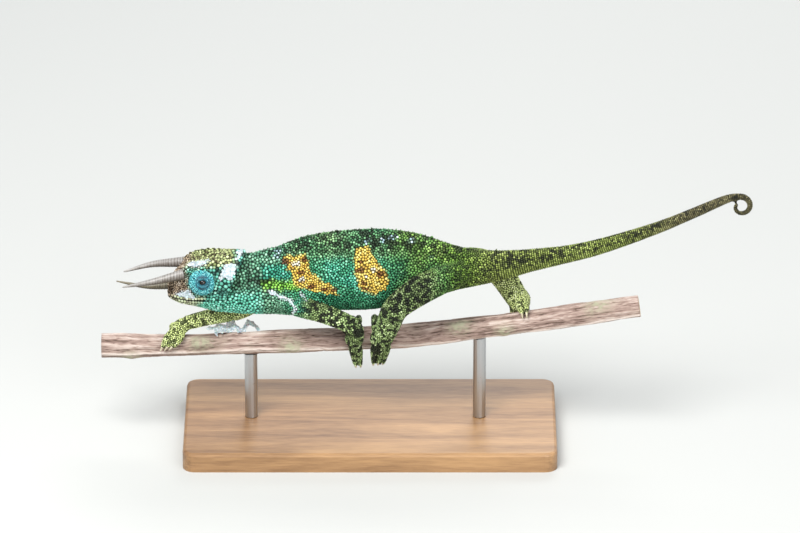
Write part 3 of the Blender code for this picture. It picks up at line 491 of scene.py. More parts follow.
flesh_tree, flesh_owner = cad_lookup(flesh + ["eye_left", "eye_right"])
skin_points = vertex_values(skin.data, "co")
skin_normals = vertex_values(skin.data, "normal")
hits = [flesh_tree.find_nearest(Vector(point)) for point in skin_points.tolist()]
skin_part = [flesh_owner[hit[2]] for hit in hits]
depth = np.array([COAT_DEPTH[part.split("_")[0]] for part in skin_part])
outside = [(Vector(point) - hit[0]).dot(hit[1]) / MM for point, hit in zip(skin_points.tolist(), hits)]
inward = spread(np.clip(depth + np.array(outside), *FITTING_LIMITS)[:, None], 6)
skin_points = skin_points - skin_normals * inward * MM
furrows = np.maximum(TOE_FURROW * toe_gaps(skin_points / MM, np.array(skin_part)),
                     MOUTH_FURROW * mouth_gap(skin_points / MM, np.array(skin_part)))
skin_points = skin_points - skin_normals * furrows[:, None] * MM
for end, heading, _ in toe_ends():
    away = skin_points / MM - np.array(end)
    reach = away @ np.array(heading)
    aside = np.linalg.norm(away - reach[:, None] * np.array(heading), axis=1)
    on_claw = (reach > 0) & (reach < CLAW_LENGTH) & (aside < CLAW_ROOM)
    skin_points[on_claw] -= np.outer(reach[on_claw], heading) * MM
skin.data.vertices.foreach_set("co", skin_points.ravel())
skin.data.update()
skin_normals = vertex_values(skin.data, "normal")
for face in skin.data.polygons:
    face.use_smooth = True

rng = np.random.default_rng(7)
# The ground is painted darker: partly its own dark tone, partly painted shade in the creases between the
# scales.
ground = markings(skin_points, skin_part, np.full(len(skin_points), 0.3)) * GROUND_DARKNESS_AND_PAINTED_SHADE
attribute = skin.data.color_attributes.new("ground", "FLOAT_COLOR", "POINT")
attribute.data.foreach_set("color", np.column_stack([ground, np.ones(len(ground))]).ravel())

# Dry reptile skin: matt, with fine wrinkles about 0.35 mm apart.
material, tree, shader = new_material(
    "reptile_skin_ground_and_painted_shade", {"Roughness": 0.8, "IOR": 1.45, "Specular IOR Level": 0.15})
colour = add_node(tree, "ShaderNodeAttribute", {"attribute_name": "ground"})
tree.links.new(colour.outputs["Color"], shader.inputs["Base Color"])
add_bump(tree, shader, add_noise(tree, add_place(tree), 2800.0, 3.0), 0.4, 0.08)
skin.data.materials.clear()
skin.data.materials.append(material)
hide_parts(*flesh)
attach(skin, "root")


# Scales. Thousands of small domed scales of keratin cover the skin, largest on cheeks and neck
# and finest on the toes. Each grows from its own place and carries its own colour.
# Spacing in mm from one scale to the next, and the height of its dome, for each part.
SCALE_SIZE = {
    "head": (1.0, 0.26), "lower_jaw": (0.88, 0.24), "neck": (1.22, 0.3), "torso": (0.98, 0.28),
    "tail_base": (0.86, 0.24), "tail_middle": (0.76, 0.2), "tail_tip": (0.62, 0.16),
    "upper_leg": (0.84, 0.25), "lower_leg": (0.8, 0.24), "foot": (0.68, 0.18),
}
# Places tried for a scale, and how close two may start, as a share of their spacing.
SCALE_CANDIDATES = 330000
PACKING = 0.86
# Rounds in which crowded scales push one another apart, the room each wants and the share moved.
PUSH_ROUNDS, PUSH_ROOM, PUSH_SHARE = 7, 1.06, 0.35
# The tail's scales lie in rings, this many mm apart, round a line of x and z points.
TAIL_LINE = ((50.0, 74.9), (57.0, 75.9), (64.0, 77.3), (76.2, 79.5), (88.5, 82.4), (100.7, 86.4),
             (112.0, 90.6), (120.2, 94.0), (132.4, 99.7), (138.6, 102.7), (143.2, 104.6))
# The curl at its end turns on from there: its middle, its first and last angle and radius.
CURL_X, CURL_Z = 147.8, 101.0
CURL_TURNS = (95.0, -225.0)
CURL_RADII = (4.3, 1.6)
RING_SPACING = 0.95
# Rows of larger scales on the head, before its roll: x, y, z along each row, and their spacing.
HEAD_ROWS = (
    (((-80.5, 3.0, 63.7), (-76.0, 5.4, 63.4), (-71.0, 6.6, 63.6), (-66.0, 7.3, 64.3),
      (-62.0, 7.9, 64.2)), 1.25),
    (((-80.0, 2.9, 61.7), (-76.0, 5.0, 61.5), (-71.0, 6.2, 61.6), (-66.0, 6.8, 62.2),
      (-62.5, 7.4, 62.0)), 1.2),
    (((-75.5, 4.7, 76.0), (-72.0, 5.3, 79.0), (-67.4, 5.6, 80.3), (-62.5, 5.7, 80.6), (-58.0, 5.3, 80.7),
      (-54.0, 4.3, 81.1)), 1.1),
    (((-61.0, 0.0, 80.4), (-58.0, 0.0, 81.7), (-54.0, 0.0, 82.8)), 1.3),
)
# Large round plates of the temple: x, y, z and width.
TEMPLE_PLATES = ((-59.4, 9.0, 72.0, 2.0), (-57.6, 9.0, 70.6, 1.9), (-56.2, 8.8, 69.0, 1.7),
                 (-58.6, 8.9, 69.2, 1.7), (-60.0, 8.7, 70.2, 1.5), (-56.4, 8.9, 73.0, 1.6))


def roll_head(point):
    """A place on the head after its roll, in mm."""
    pivot = Vector((0, 0, HEAD_PIVOT_Z))
    return Matrix.Rotation(math.radians(HEAD_ROLL), 3, "X") @ (Vector(point) - pivot) + pivot


def part_kind(part):
    """The part's name without its place, as SCALE_SIZE has it."""
    return part if part in SCALE_SIZE else part.rsplit("_", 2)[0]


skin_faces = [tuple(face.vertices) for face in skin.data.polygons]
skin_tree = BVHTree.FromPolygons([Vector(point) for point in skin_points.tolist()], skin_faces)
skin_face_part = [skin_part[face[0]] for face in skin_faces]


def nearest_on_skin(points):
    """The nearest places on the skin, and the faces that hold them."""
    found = [skin_tree.find_nearest(Vector(point)) for point in points.tolist()]
    return np.array([hit[0] for hit in found]), [hit[2] for hit in found]


def row_places():
    """Places and spacings of the head's larger scales, on both sides."""
    places = []
    for stations, spacing in HEAD_ROWS:
        xs, ys, zs = zip(*stations)
        x = xs[0]
        while x < xs[-1]:
            y, z = float(np.interp(x, xs, ys)), float(np.interp(x, xs, zs))
            places += [(roll_head((x, y * side, z)), spacing) for side in ((-1, 1) if ys[0] else (1,))]
            x += spacing * 0.96
    for x, y, z, width in TEMPLE_PLATES:
        places += [(roll_head((x, y * side, z)), width) for side in (-1, 1)]
    return places


def ring_places():
    """Places of the tail's scales, ring after ring, on the skin."""
    line = [Vector((x, 0, z)) for x, z in TAIL_LINE]
    for share in np.linspace(0, 1, 40):
        turn = math.radians(CURL_TURNS[0] + (CURL_TURNS[1] - CURL_TURNS[0]) * share)
        radius = CURL_RADII[0] + (CURL_RADII[1] - CURL_RADII[0]) * share
        line.append(Vector((CURL_X + radius * math.cos(turn), 0, CURL_Z + radius * math.sin(turn))))
    lengths = np.concatenate([[0], np.cumsum([(b - a).length for a, b in zip(line, line[1:])])])

    def on_line(along):
        return Vector([float(np.interp(along, lengths, [point[i] for point in line])) for i in range(3)])

    side, places, along, ring = Vector((0, 1, 0)), [], 0.0, 0
    while along < lengths[-1]:
        middle = on_line(along)
        if along + 0.5 < lengths[-1]:
            heading = (on_line(along + 0.5) - middle).normalized()
        up = heading.cross(side)
        first = skin_tree.ray_cast(middle * MM, side)
        radius = first[3] / MM if first[0] else 0.8
        step = RING_SPACING * (1 - 0.3 * along / lengths[-1])
        count = max(int(math.tau * radius / (0.84 * step)), 7)
        for k in range(count):
            turn = math.tau * (k + 0.5 * (ring % 2)) / count
            hit = skin_tree.ray_cast(middle * MM, side * math.cos(turn) + up * math.sin(turn))
            if hit[0] and hit[3] < 8 * MM:
                places.append((hit[0] / MM, step * 0.86))
        along += step
        ring += 1
    return places


def point_tree(points):
    """A search tree over places."""
    tree = KDTree(len(points))
    for i, point in enumerate(points.tolist()):
        tree.insert(point, i)
    tree.balance()
    return tree


skin.data.calc_loop_triangles()
triangles = np.empty(len(skin.data.loop_triangles) * 3, int)
skin.data.loop_triangles.foreach_get("vertices", triangles)
corners = skin_points[triangles.reshape(-1, 3)]
areas = np.linalg.norm(np.cross(corners[:, 1] - corners[:, 0], corners[:, 2] - corners[:, 0]), axis=1)
picked = rng.choice(len(areas), SCALE_CANDIDATES, p=areas / areas.sum())
shares = rng.random((SCALE_CANDIDATES, 2))
shares = np.where(shares.sum(1)[:, None] > 1, 1 - shares, shares)
candidates = corners[picked, 0] + (corners[picked, 1] - corners[picked, 0]) * shares[:, :1]
candidates += (corners[picked, 2] - corners[picked, 0]) * shares[:, 1:]
candidate_part = [skin_part[i] for i in triangles.reshape(-1, 3)[picked, 0]]
spacings = np.array([0.0 if part.startswith("eye") else SCALE_SIZE[part_kind(part)][0]
                     for part in candidate_part])
spacings *= 1 + 0.1 * grain(candidates, 5.0, 21)
candidate_part = np.array(candidate_part)
# The head's scales grow from small ones on the snout to large ones on the cheek.
in_head = np.isin(candidate_part, ("head", "lower_jaw"))
spacings = np.where(in_head, spacings * (0.76 + 0.44 * ramp(candidates[:, 0] / MM, -74, -60)), spacings)
gaps = np.maximum(toe_gaps(candidates / MM, candidate_part), mouth_gap(candidates / MM, candidate_part))
on_rings = np.char.startswith(candidate_part, "tail") & (candidates[:, 0] > TAIL_LINE[0][0] * MM)
spacings[(gaps > 0.6) | on_rings] = 0
large = row_places()
count_of_large = len(large)
large += ring_places()
seeds = np.vstack([np.array([place for place, _ in large]) * MM, candidates])
seeds[: len(large)], _ = nearest_on_skin(seeds[: len(large)])
seed_spacing = np.concatenate([[spacing for _, spacing in large], spacings])
seed_tree = point_tree(seeds)
free = seed_spacing > 0
kept = []
for i in range(len(seeds)):
    if free[i]:
        kept.append(i)
        for _, j, _ in seed_tree.find_range(seeds[i], seed_spacing[i] * PACKING * MM):
            free[j] = False
roots = seeds[kept]
spacing = seed_spacing[kept]
fixed = np.array(kept) < len(large)

# The scales push one another apart until they lie as evenly as grown ones do.
for _ in range(PUSH_ROUNDS):
    crowd = point_tree(roots)
    around = np.array([[j for _, j, _ in crowd.find_n(point, 7)][1:] for point in roots.tolist()])
    apart = roots[:, None] - roots[around]
    distance = np.linalg.norm(apart, axis=2)
    wanted = (spacing[:, None] + spacing[around]) / 2 * MM * PUSH_ROOM
    push = np.clip(wanted - distance, 0, None) / np.maximum(distance, 1e-6)
    move = (apart * push[:, :, None]).sum(1) * PUSH_SHARE
    roots = np.where(fixed[:, None], roots, roots + move)
    roots, root_faces = nearest_on_skin(roots)
room = np.sort(distance, axis=1)[:, :5].mean(1) / MM
scale_width = np.clip(room, spacing * 0.75, spacing * 1.2)
scale_part = [skin_face_part[face] for face in root_faces]
scale_part = ["torso" if part.startswith("eye") else part for part in scale_part]
face_corners = np.array([skin_faces[face][:3] for face in root_faces])
root_normals = spread(skin_normals, 4)[face_corners].mean(1)
root_normals /= np.linalg.norm(root_normals, axis=1)[:, None]

# The unwrap of the skin's own shape, on which each scale has its patch: along each part, and
# round it. For each field, its corner on the map and the mean length round the part in mm.
UV_PER_MM = 0.0034
PATCH_SIZE = 0.003
UV_FIELDS = {
    "body": (0.0, 0.0, 90.0), "head": (0.7, 0.0, 75.0),
    "front_left": (0.0, 0.34, 25.0), "front_right": (0.25, 0.34, 25.0),
    "hind_left": (0.5, 0.34, 33.0), "hind_right": (0.75, 0.34, 33.0),
    "foot_front_left": (0.0, 0.5, 56.0), "foot_front_right": (0.1, 0.5, 56.0),
    "foot_hind_left": (0.2, 0.5, 56.0), "foot_hind_right": (0.3, 0.5, 56.0),
    "curl": (0.42, 0.5, 20.0),
}
BODY_LINE = ((-60, 67.7), (-31, 69.8), (-15, 73), (3, 73.9), (20, 74.7), (37, 74.1), (57, 75.9), (88, 82.4),
             (120, 94), (143, 104.6))
CURL_START_X = 143
HEAD_START_X, HEAD_MIDDLE_Z = -84, 67
NECK_START_X = -57
FOOT_MIDDLES = {"foot_front_left": -6, "foot_front_right": -79, "foot_hind_left": 4, "foot_hind_right": 61}
# Shoulder or hip, elbow or knee, and wrist or ankle of each leg.
LEG_LINES = {
    "front_left": ((-35.0, -4.5, 63.0), (-7.4, -13.4, 54.8), (-6.3, -10.0, 45.6)),
    "front_right": ((-32.0, 4.5, 62.0), (-53.5, 9.6, 50.0), (-74.0, 0.6, 49.2)),
    "hind_left": ((37.0, -3.5, 74.6), (10.4, -16.6, 64.0), (4.8, -10.4, 46.8)),
    "hind_right": ((33.0, 3.5, 74.5), (52.5, 15.0, 64.5), (59.4, 6.8, 56.6)),
}


def unwrap(points, parts):
    """Where each point's patch lies on the unwrap."""
    found = np.zeros((len(points), 2))
    for i, (point, part) in enumerate(zip((points / MM).tolist(), parts)):
        x, y, z = point
        if part in ("head", "lower_jaw"):
            field, along, turn = "head", x - HEAD_START_X, math.atan2(y, z - HEAD_MIDDLE_Z)
        elif part in FOOT_MIDDLES:
            field, along, turn = part, x - FOOT_MIDDLES[part] + 12, math.atan2(y, z - branch_centre(x).z)
        elif "leg" in part:
            field = part.split("_", 2)[2]
            root, knee, wrist = (Vector(station) for station in LEG_LINES[field])
            start, end = (root, knee) if part.startswith("upper") else (knee, wrist)
            line = (end - start).normalized()
            side = line.orthogonal().normalized()
            away = Vector(point) - start
            along = away.dot(line) + (0 if part.startswith("upper") else (knee - root).length)
            turn = math.atan2(away.dot(side), away.dot(line.cross(side)))
        elif part == "tail_tip" and x > CURL_START_X:
            spin, reach = math.atan2(z - CURL_Z, x - CURL_X), math.hypot(z - CURL_Z, x - CURL_X)
            field, along, turn = "curl", (spin + math.pi) * 4, math.atan2(y, reach - 3)
        else:
            field, along = "body", x - NECK_START_X
            turn = math.atan2(y, z - np.interp(x, *zip(*BODY_LINE)))
        u, v, around_length = UV_FIELDS[field]
        found[i] = (u + along * UV_PER_MM, v + (turn / math.tau + 0.5) * around_length * UV_PER_MM)
    return found


def dome(sides):
    """One scale of width 1 and height 1: a shallow dome with a broad foot, sunk a little."""
    bm = bmesh.new()
    bmesh.ops.create_cone(bm, cap_ends=True, segments=sides, radius1=0.52, radius2=0.37, depth=1.2)
    bmesh.ops.translate(bm, vec=(0, 0, 0.05), verts=bm.verts)
    top = max(bm.faces, key=lambda face: face.calc_center_median().z)
    centre = bmesh.ops.poke(bm, faces=[top])["verts"][0]
    centre.co.z = 1.0
    bm.verts.index_update()
    shape = np.array([vert.co for vert in bm.verts])
    faces = [[vert.index for vert in face.verts] for face in bm.faces]
    bm.free()
    return shape, faces


def grow(name, form, centres, normals, widths, heights, colours, uv, turn, stretch=1.0, along=None):
    """Copies a small form to many places as one mesh, each with its colour and its own patch."""
    shape, faces = form
    count, size = len(centres), len(shape)
    if along is None:
        along = np.cross(normals, rng.normal(size=(count, 3)))
    along = along - normals * (along * normals).sum(1)[:, None]
    along /= np.linalg.norm(along, axis=1)[:, None]
    across = np.cross(normals, along)
    cosine, sine = np.cos(turn)[:, None], np.sin(turn)[:, None]
    first, second = along * cosine + across * sine, across * cosine - along * sine
    wide = (widths * MM)[:, None, None]
    long = (widths * stretch * MM)[:, None, None]
    points = centres[:, None] + first[:, None] * shape[None, :, :1] * long
    points = points + second[:, None] * shape[None, :, 1:2] * wide
    points = points + normals[:, None] * shape[None, :, 2:] * (heights * MM)[:, None, None]
    mesh = bpy.data.meshes.new(name)
    loops = np.concatenate([np.array(face) for face in faces])
    starts = np.concatenate([[0], np.cumsum([len(face) for face in faces])[:-1]])
    shift = np.arange(count)[:, None]
    all_loops = (loops[None] + shift * size).ravel()
    mesh.vertices.add(count * size)
    mesh.loops.add(len(all_loops))
    mesh.polygons.add(count * len(faces))
    mesh.vertices.foreach_set("co", points.ravel())
    mesh.loops.foreach_set("vertex_index", all_loops)
    mesh.polygons.foreach_set("loop_start", (starts[None] + shift * len(loops)).ravel())
    mesh.polygons.foreach_set("use_smooth", np.ones(count * len(faces), bool))
    mesh.update(calc_edges=True)
    # Each scale is painted darker at its foot and paler at its top: painted shade at the foot and a painted
    # highlight on the dome.
    rise = np.clip(shape[:, 2], 0, 1)
    light = 0.32 + 1.04 * rise**1.3
    lit_and_shaded_colours = np.clip(colours[:, None] * light[None, :, None], 0, 1)
    colour_with_painted_light = mesh.color_attributes.new("colour_with_painted_light", "FLOAT_COLOR", "POINT")
    colour_with_painted_light.data.foreach_set("color", np.dstack([lit_and_shaded_colours, np.ones((count, size))]).ravel())
    layer = mesh.uv_layers.new(name="OFBake")
    layer.data.foreach_set("uv", (uv[:, None] + shape[None, loops, :2] * PATCH_SIZE).ravel())
    return new_object(name, mesh)


def keratin(name, roughness):
    """Keratin scales: a dry waxy gloss on each dome, and fine growth lines about 0.12 mm apart."""
    material, tree, shader = new_material(
        name, {"Roughness": roughness, "IOR": 1.54, "Specular IOR Level": 0.22})
    # Each scale's colour carries painted shade at its foot and a painted highlight on its top.
    colour = add_node(tree, "ShaderNodeAttribute", {"attribute_name": "colour_with_painted_light"})
    tree.links.new(colour.outputs["Color"], shader.inputs["Base Color"])
    add_bump(tree, shader, add_noise(tree, add_place(tree), 8000.0, 2.0), 0.25, 0.04)
    return material


def coat_piece(name, chosen, sides):
    """The scales of one stretch of skin as one piece."""
    index = np.flatnonzero(chosen)
    parts = [scale_part[i] for i in index]
    heights = np.array([SCALE_SIZE[part_kind(part)][1] for part in parts])
    heights *= 0.85 + 0.3 * rng.random(len(index))
    heights *= np.clip(scale_width[index] / spacing[index], 0.8, 1.2)
    piece = grow(name, dome(sides), roots[index], root_normals[index], scale_width[index] * 1.02, heights,
                 scale_colour[index], unwrap(roots[index], parts), rng.random(len(index)) * math.tau,
                 0.95 + 0.12 * rng.random(len(index)))
    piece.data.materials.append(scale_keratin)
    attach(piece, "root")


# The large scales of the head draw the brighter half of their tones.
draw = rng.random(len(roots))
draw[:count_of_large] = 0.55 + 0.45 * draw[:count_of_large]
scale_colour = markings(roots, scale_part, draw)
scale_keratin = keratin("keratin_scales", 0.48)
kinds = np.array([part_kind(part) for part in scale_part])
root_x = roots[:, 0] / MM
is_hind = np.array(["hind" in part for part in scale_part])
on_leg = np.isin(kinds, ("upper_leg", "lower_leg", "foot"))
coat_piece("head_scales", np.isin(kinds, ("head", "lower_jaw")), 8)
coat_piece("neck_scales", kinds == "neck", 6)
coat_piece("torso_scales_front", (kinds == "torso") & (root_x < -8), 6)
coat_piece("torso_scales_rear", (kinds == "torso") & (root_x >= -8), 6)
coat_piece("tail_scales", np.isin(kinds, ("tail_base", "tail_middle", "tail_tip")), 6)
coat_piece("foreleg_scales", on_leg & ~is_hind, 6)
coat_piece("hindleg_scales", on_leg & is_hind, 6)


# Crest. A single row of short conical scales stands along the ridge of neck, back and tail,
# leaning back a little and growing smaller down the tail.
CREST_FROM, CREST_TO = -50.5, 128.0
CREST_HEIGHT, CREST_WIDTH = 0.68, 0.95
# The gap from one spine to the next: the least, and what a full-grown one adds.
CREST_GAP, CREST_ROOM = 1.05, 0.55
CREST_TINT = "#6f7c58"
# Behind this x, in mm, the spines stand on the tail.
CREST_TAIL_FROM = 37.0


def crest_cone():
    """One spine of width 1 and height 1, with a rounded foot and a tip that leans back."""
    bm = bmesh.new()
    bmesh.ops.create_cone(bm, cap_ends=True, segments=7, radius1=0.5, radius2=0.1, depth=1.3)
    bmesh.ops.translate(bm, vec=(0, 0, 0.35), verts=bm.verts)
    long_edges = [edge for edge in bm.edges if abs(edge.verts[0].co.z - edge.verts[1].co.z) > 0.5]
    bmesh.ops.subdivide_edges(bm, edges=long_edges, cuts=1)
    for vert in bm.verts:
        if abs(vert.co.z - 0.35) < 0.1:
            vert.co.xy *= 1.16
        vert.co.x += 0.3 * max(vert.co.z, 0) ** 2
    bm.verts.index_update()
    shape = np.array([vert.co for vert in bm.verts])
    faces = [[vert.index for vert in face.verts] for face in bm.faces]
    bm.free()
    return shape, faces


crest_roots, crest_size = [], []
x = CREST_FROM
while x < CREST_TO:
    hit, normal, _, _ = skin_tree.ray_cast(Vector((x * MM, 0, 0.14)), Vector((0, 0, -1)))
    small = 1 - 0.62 * float(ramp(np.array(x), 25.0, CREST_TO))
    crest_roots.append((*hit, *normal))
    crest_size.append(small * (0.86 + 0.28 * rng.random()))
    x += (CREST_GAP + CREST_ROOM * small) * (0.9 + 0.2 * rng.random())
crest_roots, crest_size = np.array(crest_roots), np.array(crest_size)
crest_normals = crest_roots[:, 3:] * np.array([1, 0.2, 1])
crest_normals /= np.linalg.norm(crest_normals, axis=1)[:, None]
crest_part = ["torso" if row[0] < CREST_TAIL_FROM * MM else "tail_base" for row in crest_roots]
crest_tint = markings(crest_roots[:, :3], crest_part, rng.random(len(crest_roots)))
crest = grow("crest_spines", crest_cone(), crest_roots[:, :3], crest_normals, crest_size * CREST_WIDTH,
             crest_size * CREST_HEIGHT, crest_tint * 0.75 + linear(CREST_TINT) * 0.2,
             unwrap(crest_roots[:, :3], crest_part), np.zeros(len(crest_roots)),
             along=np.tile([1.0, 0, 0], (len(crest_roots), 1)))
crest.data.materials.append(scale_keratin)
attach(crest, "root")


# Eyes. Each eye is a turret: the lids are grown together into a cone of fine beads that turns
# with the eyeball, and leave only a small oval opening for the dark pupil and its gold ring.
SIDES = (("left", -1), ("right", 1))
EYE_CENTRE = (-67.0, 6.1, 71.6)
EYE_RADIUS = 5.5
GAZES = {"left": (0.07, -0.90, 0.42), "right": (-0.38, 0.90, 0.12)}
# The lid from its opening outwards, as radius and height over the eye's centre, then a ball.
LID_PROFILE = ((1.25, 4.15), (1.5, 4.75), (1.72, 5.02), (2.05, 5.16), (2.45, 5.12), (3.0, 4.66))
LID_RADIUS = EYE_RADIUS - 0.12
LID_BACK = -3.4
LID_OVAL = 0.7
BEAD, BEAD_HEIGHT = 0.56, 0.2
BEADS_FROM, BEADS_TO = 25.0, 118
BEAD_TONES = ("#134a52", "#4fb0b4", "#a6ecea")
EYEBALL_RADIUS = 1.72
EYEBALL_Z = 2.8


def gaze_matrix(side, gaze):
    """Turns +Z to the gaze, +X level and forward, and puts the origin at the eye's centre."""
    forward = Vector(gaze).normalized()
    level = forward.cross(Vector((0, 0, 1))).normalized()
    turn = Matrix((level, level.cross(forward), forward)).transposed().to_4x4()
    roll = Matrix.Rotation(math.radians(HEAD_ROLL), 4, "X")
    x, y, z = EYE_CENTRE
    centre = roll_head((x, y * side, z))
    return Matrix.Translation(centre * MM) @ roll @ turn


def turned(name, profile, steps, shape_change=Vector):
    """A body turned about +Z from a profile of radius and height in mm, then changed in shape."""
    bm = bmesh.new()
    verts = [bm.verts.new((radius * MM, 0, height * MM)) for radius, height in profile]
    edges = [bm.edges.new(pair) for pair in zip(verts, verts[1:])]
    bmesh.ops.spin(bm, geom=verts + edges, cent=(0, 0, 0), axis=(0, 0, 1), angle=math.tau, steps=steps,
                   use_merge=True)
    bmesh.ops.remove_doubles(bm, verts=bm.verts, dist=1e-6)
    bmesh.ops.recalc_face_normals(bm, faces=bm.faces)
    for vert in bm.verts:
        vert.co = shape_change(vert.co)
    mesh = bpy.data.meshes.new(name)
    bm.to_mesh(mesh)
    bm.free()
    for face in mesh.polygons:
        face.use_smooth = True
    return new_object(name, mesh)


def oval(co):
    """Squeezes what lies near the lid's opening into an oval."""
    reach = math.hypot(co.x, co.y) / MM
    squeeze = LID_OVAL + (1 - LID_OVAL) * float(ramp(np.array(reach), 1.9, 3.6))
    return Vector((co.x, co.y * squeeze, co.z))


# Lid skin: as the body's, brighter, with beads too fine to grow as scales drawn as bump.
lid_material, tree, shader = new_material("reptile_lid_skin", {"Roughness": 0.6, "IOR": 1.45})
mottle = add_noise(tree, add_place(tree), 900.0, 3.0)
tree.links.new(add_ramp(tree, mottle, ((0.35, "#0a2c38"), (0.65, "#226a78"))), shader.inputs["Base Color"])
beads = add_node(tree, "ShaderNodeTexVoronoi", {"Scale": 3200.0}, {"Vector": add_place(tree)})
add_bump(tree, shader, beads.outputs["Distance"], 0.5, 0.1, True)

# Cornea over iris: wet and smooth, black pupil, gold ring, dark brown outside.
eye_material, tree, shader = new_material(
    "wet_eye", {"Roughness": 0.06, "IOR": 1.38, "Coat Weight": 0.6, "Coat Roughness": 0.02})
ring = add_node(tree, "ShaderNodeAttribute", {"attribute_name": "from_axis"})
colour = add_ramp(tree, ring.outputs["Fac"], ((0.0, "#050404"), (0.52, "#050404"), (0.55, "#7a4c14"),
                                              (0.58, "#1c120a"), (0.7, "#0a0706"), (1.0, "#1a0f08")))
tree.links.new(colour, shader.inputs["Base Color"])

lid_keratin = keratin("keratin_lid_beads", 0.42)
for side_name, side in SIDES:
    place_eye = gaze_matrix(side, GAZES[side_name])
    profile = list(LID_PROFILE)
    for degrees in range(44, 126, 6):
        angle = math.radians(degrees)
        profile.append((LID_RADIUS * math.sin(angle), LID_RADIUS * math.cos(angle)))
    lid = turned("eye_lid_" + side_name, profile + [(0.0, LID_BACK)], 48, oval)
    lid.data.transform(place_eye)
    lid.data.materials.append(lid_material)
    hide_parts("eye_" + side_name)
    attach(lid, "root")

    profile = []
    for degrees in range(0, 181, 9):
        angle = math.radians(degrees)
        profile.append((EYEBALL_RADIUS * math.sin(angle), EYEBALL_Z + EYEBALL_RADIUS * math.cos(angle)))
    ball = turned("eyeball_wet_" + side_name, profile, 32)
    values = [math.hypot(vert.co.x, vert.co.y) / MM / EYEBALL_RADIUS for vert in ball.data.vertices]
    ball.data.attributes.new("from_axis", "FLOAT", "POINT").data.foreach_set("value", values)
    ball.data.transform(place_eye)
    ball.data.materials.append(eye_material)
    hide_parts("eyeball_" + side_name)
    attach(ball, "root")

    # Rings of beads from the opening back to the skin, in rays of darker and paler ones.
    centres, normals, widths, tones = [], [], [], []
    degrees, row = BEADS_FROM, 0
    while degrees < BEADS_TO:
        angle = math.radians(degrees)
        size = BEAD * (0.78 + 0.3 * float(ramp(np.array(degrees), 24, 60)))
        count = int(math.tau * EYE_RADIUS * math.sin(angle) / size)
        edge = 1.3 * float(ramp(np.array(degrees), 70, 88)) + float(ramp(np.array(degrees), 33, 26)) * 0.5
        for k in range(count):
            turn = math.tau * (k + 0.5 * (row % 2)) / count + 0.04 * rng.normal()
            across = Vector((math.cos(turn), math.sin(turn), 0)) * math.sin(angle)
            direction = across + Vector((0, 0, math.cos(angle)))
            local = oval(direction * LID_RADIUS * MM)
            if degrees < 29:
                local.z += 0.12 * MM
            point = place_eye @ local
            inner = skin_tree.find_nearest(point)
            if (point - inner[0]).dot(inner[1]) < 0.05 * MM:
                continue
            centres.append(point)
            normals.append(place_eye.to_3x3() @ direction)
            widths.append(size * 1.05)
            ray = 0.5 + 0.5 * math.cos(turn * 26 + 0.7 * math.sin(degrees * 0.2))
            ray *= 0.6 + 0.4 * rng.random()
            tones.append(min(max(0.62 - 0.34 * ray - 0.5 * edge + 0.2 * rng.normal(), 0), 1))
        row += 1
        degrees += math.degrees(size * 0.9 / EYE_RADIUS)
    centres, normals = np.array(centres), np.array(normals)
    flat = (centres[:, [0, 2]] / MM - np.array(EYE_CENTRE)[[0, 2]]) * UV_PER_MM + 0.5 + 0.1 * side
    lid_beads = grow("eye_beads_" + side_name, dome(6), centres, normals, np.array(widths),
                     np.full(len(widths), BEAD_HEIGHT), shade(np.array(tones), BEAD_TONES), flat,
                     rng.random(len(widths)) * math.tau)
    lid_beads.data.materials.append(lid_keratin)
    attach(lid_beads, "root")


# Horns. Three bony cores, each in a sheath of horn laid down ring by ring: two over the eyes,
# smooth and pale, and a darker, closely ringed one on the snout.
SNOUT_HORN = ((-78.4, 0.0, 66.4), (-90.0, 0.0, 65.8), (-101.7, 0.0, 68.2))
BROW_HORN = ((-74.4, 4.8, 74.3), (-87.2, 6.9, 71.9), (-99.0, 6.0, 68.9))
SNOUT_RADIUS, BROW_RADIUS = 1.75, 2.15
HORN_TAPER = 0.86
HORN_SECTIONS, HORN_SIDES = 110, 22


def curve_points(stations, count):
    """Points along a smooth curve through three stations."""
    start, middle, end = (Vector(station) for station in stations)
    points = []
    for i in range(count):
        t = 2 * i / (count - 1)
        if t < 1:
            before, a, b, after = start * 2 - middle, start, middle, end
        else:
            before, a, b, after = start, middle, end, end * 2 - middle
            t -= 1
        points.append(0.5 * (2 * a + (b - before) * t + (2 * before - 5 * a + 4 * b - after) * t**2
                             + (3 * a - before - 3 * b + after) * t**3))
    return points


def tube(name, points, radius_at, sides):
    """A closed tube along points in mm; radius_at takes the share along, the angle and the place."""
    count = len(points)
    bm = bmesh.new()
    bmesh.ops.create_grid(bm, x_segments=sides, y_segments=count - 1, size=0.5)
    side = None
    frames = []
    for i, point in enumerate(points):
        line = (points[min(i + 1, count - 1)] - points[max(i - 1, 0)]).normalized()
        side = (line.orthogonal() if side is None else side - line * side.dot(line)).normalized()
        frames.append((side, line.cross(side)))
    for vert in bm.verts:
        row = round((vert.co.y + 0.5) * (count - 1))
        angle = math.tau * (vert.co.x + 0.5)
        first, second = frames[row]
        outward = first * math.cos(angle) + second * math.sin(angle)
        vert.co = (points[row] + outward * radius_at(row / (count - 1), angle, points[row])) * MM
    bmesh.ops.remove_doubles(bm, verts=bm.verts, dist=1e-7)
    rims = [edge for edge in bm.edges if edge.is_boundary]
    bmesh.ops.holes_fill(bm, edges=rims)
    caps = [face for face in bm.faces if len(face.verts) > 4]
    bmesh.ops.poke(bm, faces=caps)
    bmesh.ops.recalc_face_normals(bm, faces=bm.faces)
    mesh = bpy.data.meshes.new(name)
    bm.to_mesh(mesh)
    bm.free()
    for face in mesh.polygons:
        face.use_smooth = True
    return new_object(name, mesh)


def add_sum(tree, base, extra, share):
    """A value with this share of another added."""
    node = add_node(tree, "ShaderNodeMath", {"operation": "MULTIPLY_ADD", 1: share}, {0: extra, 2: base})
    return node.outputs[0]


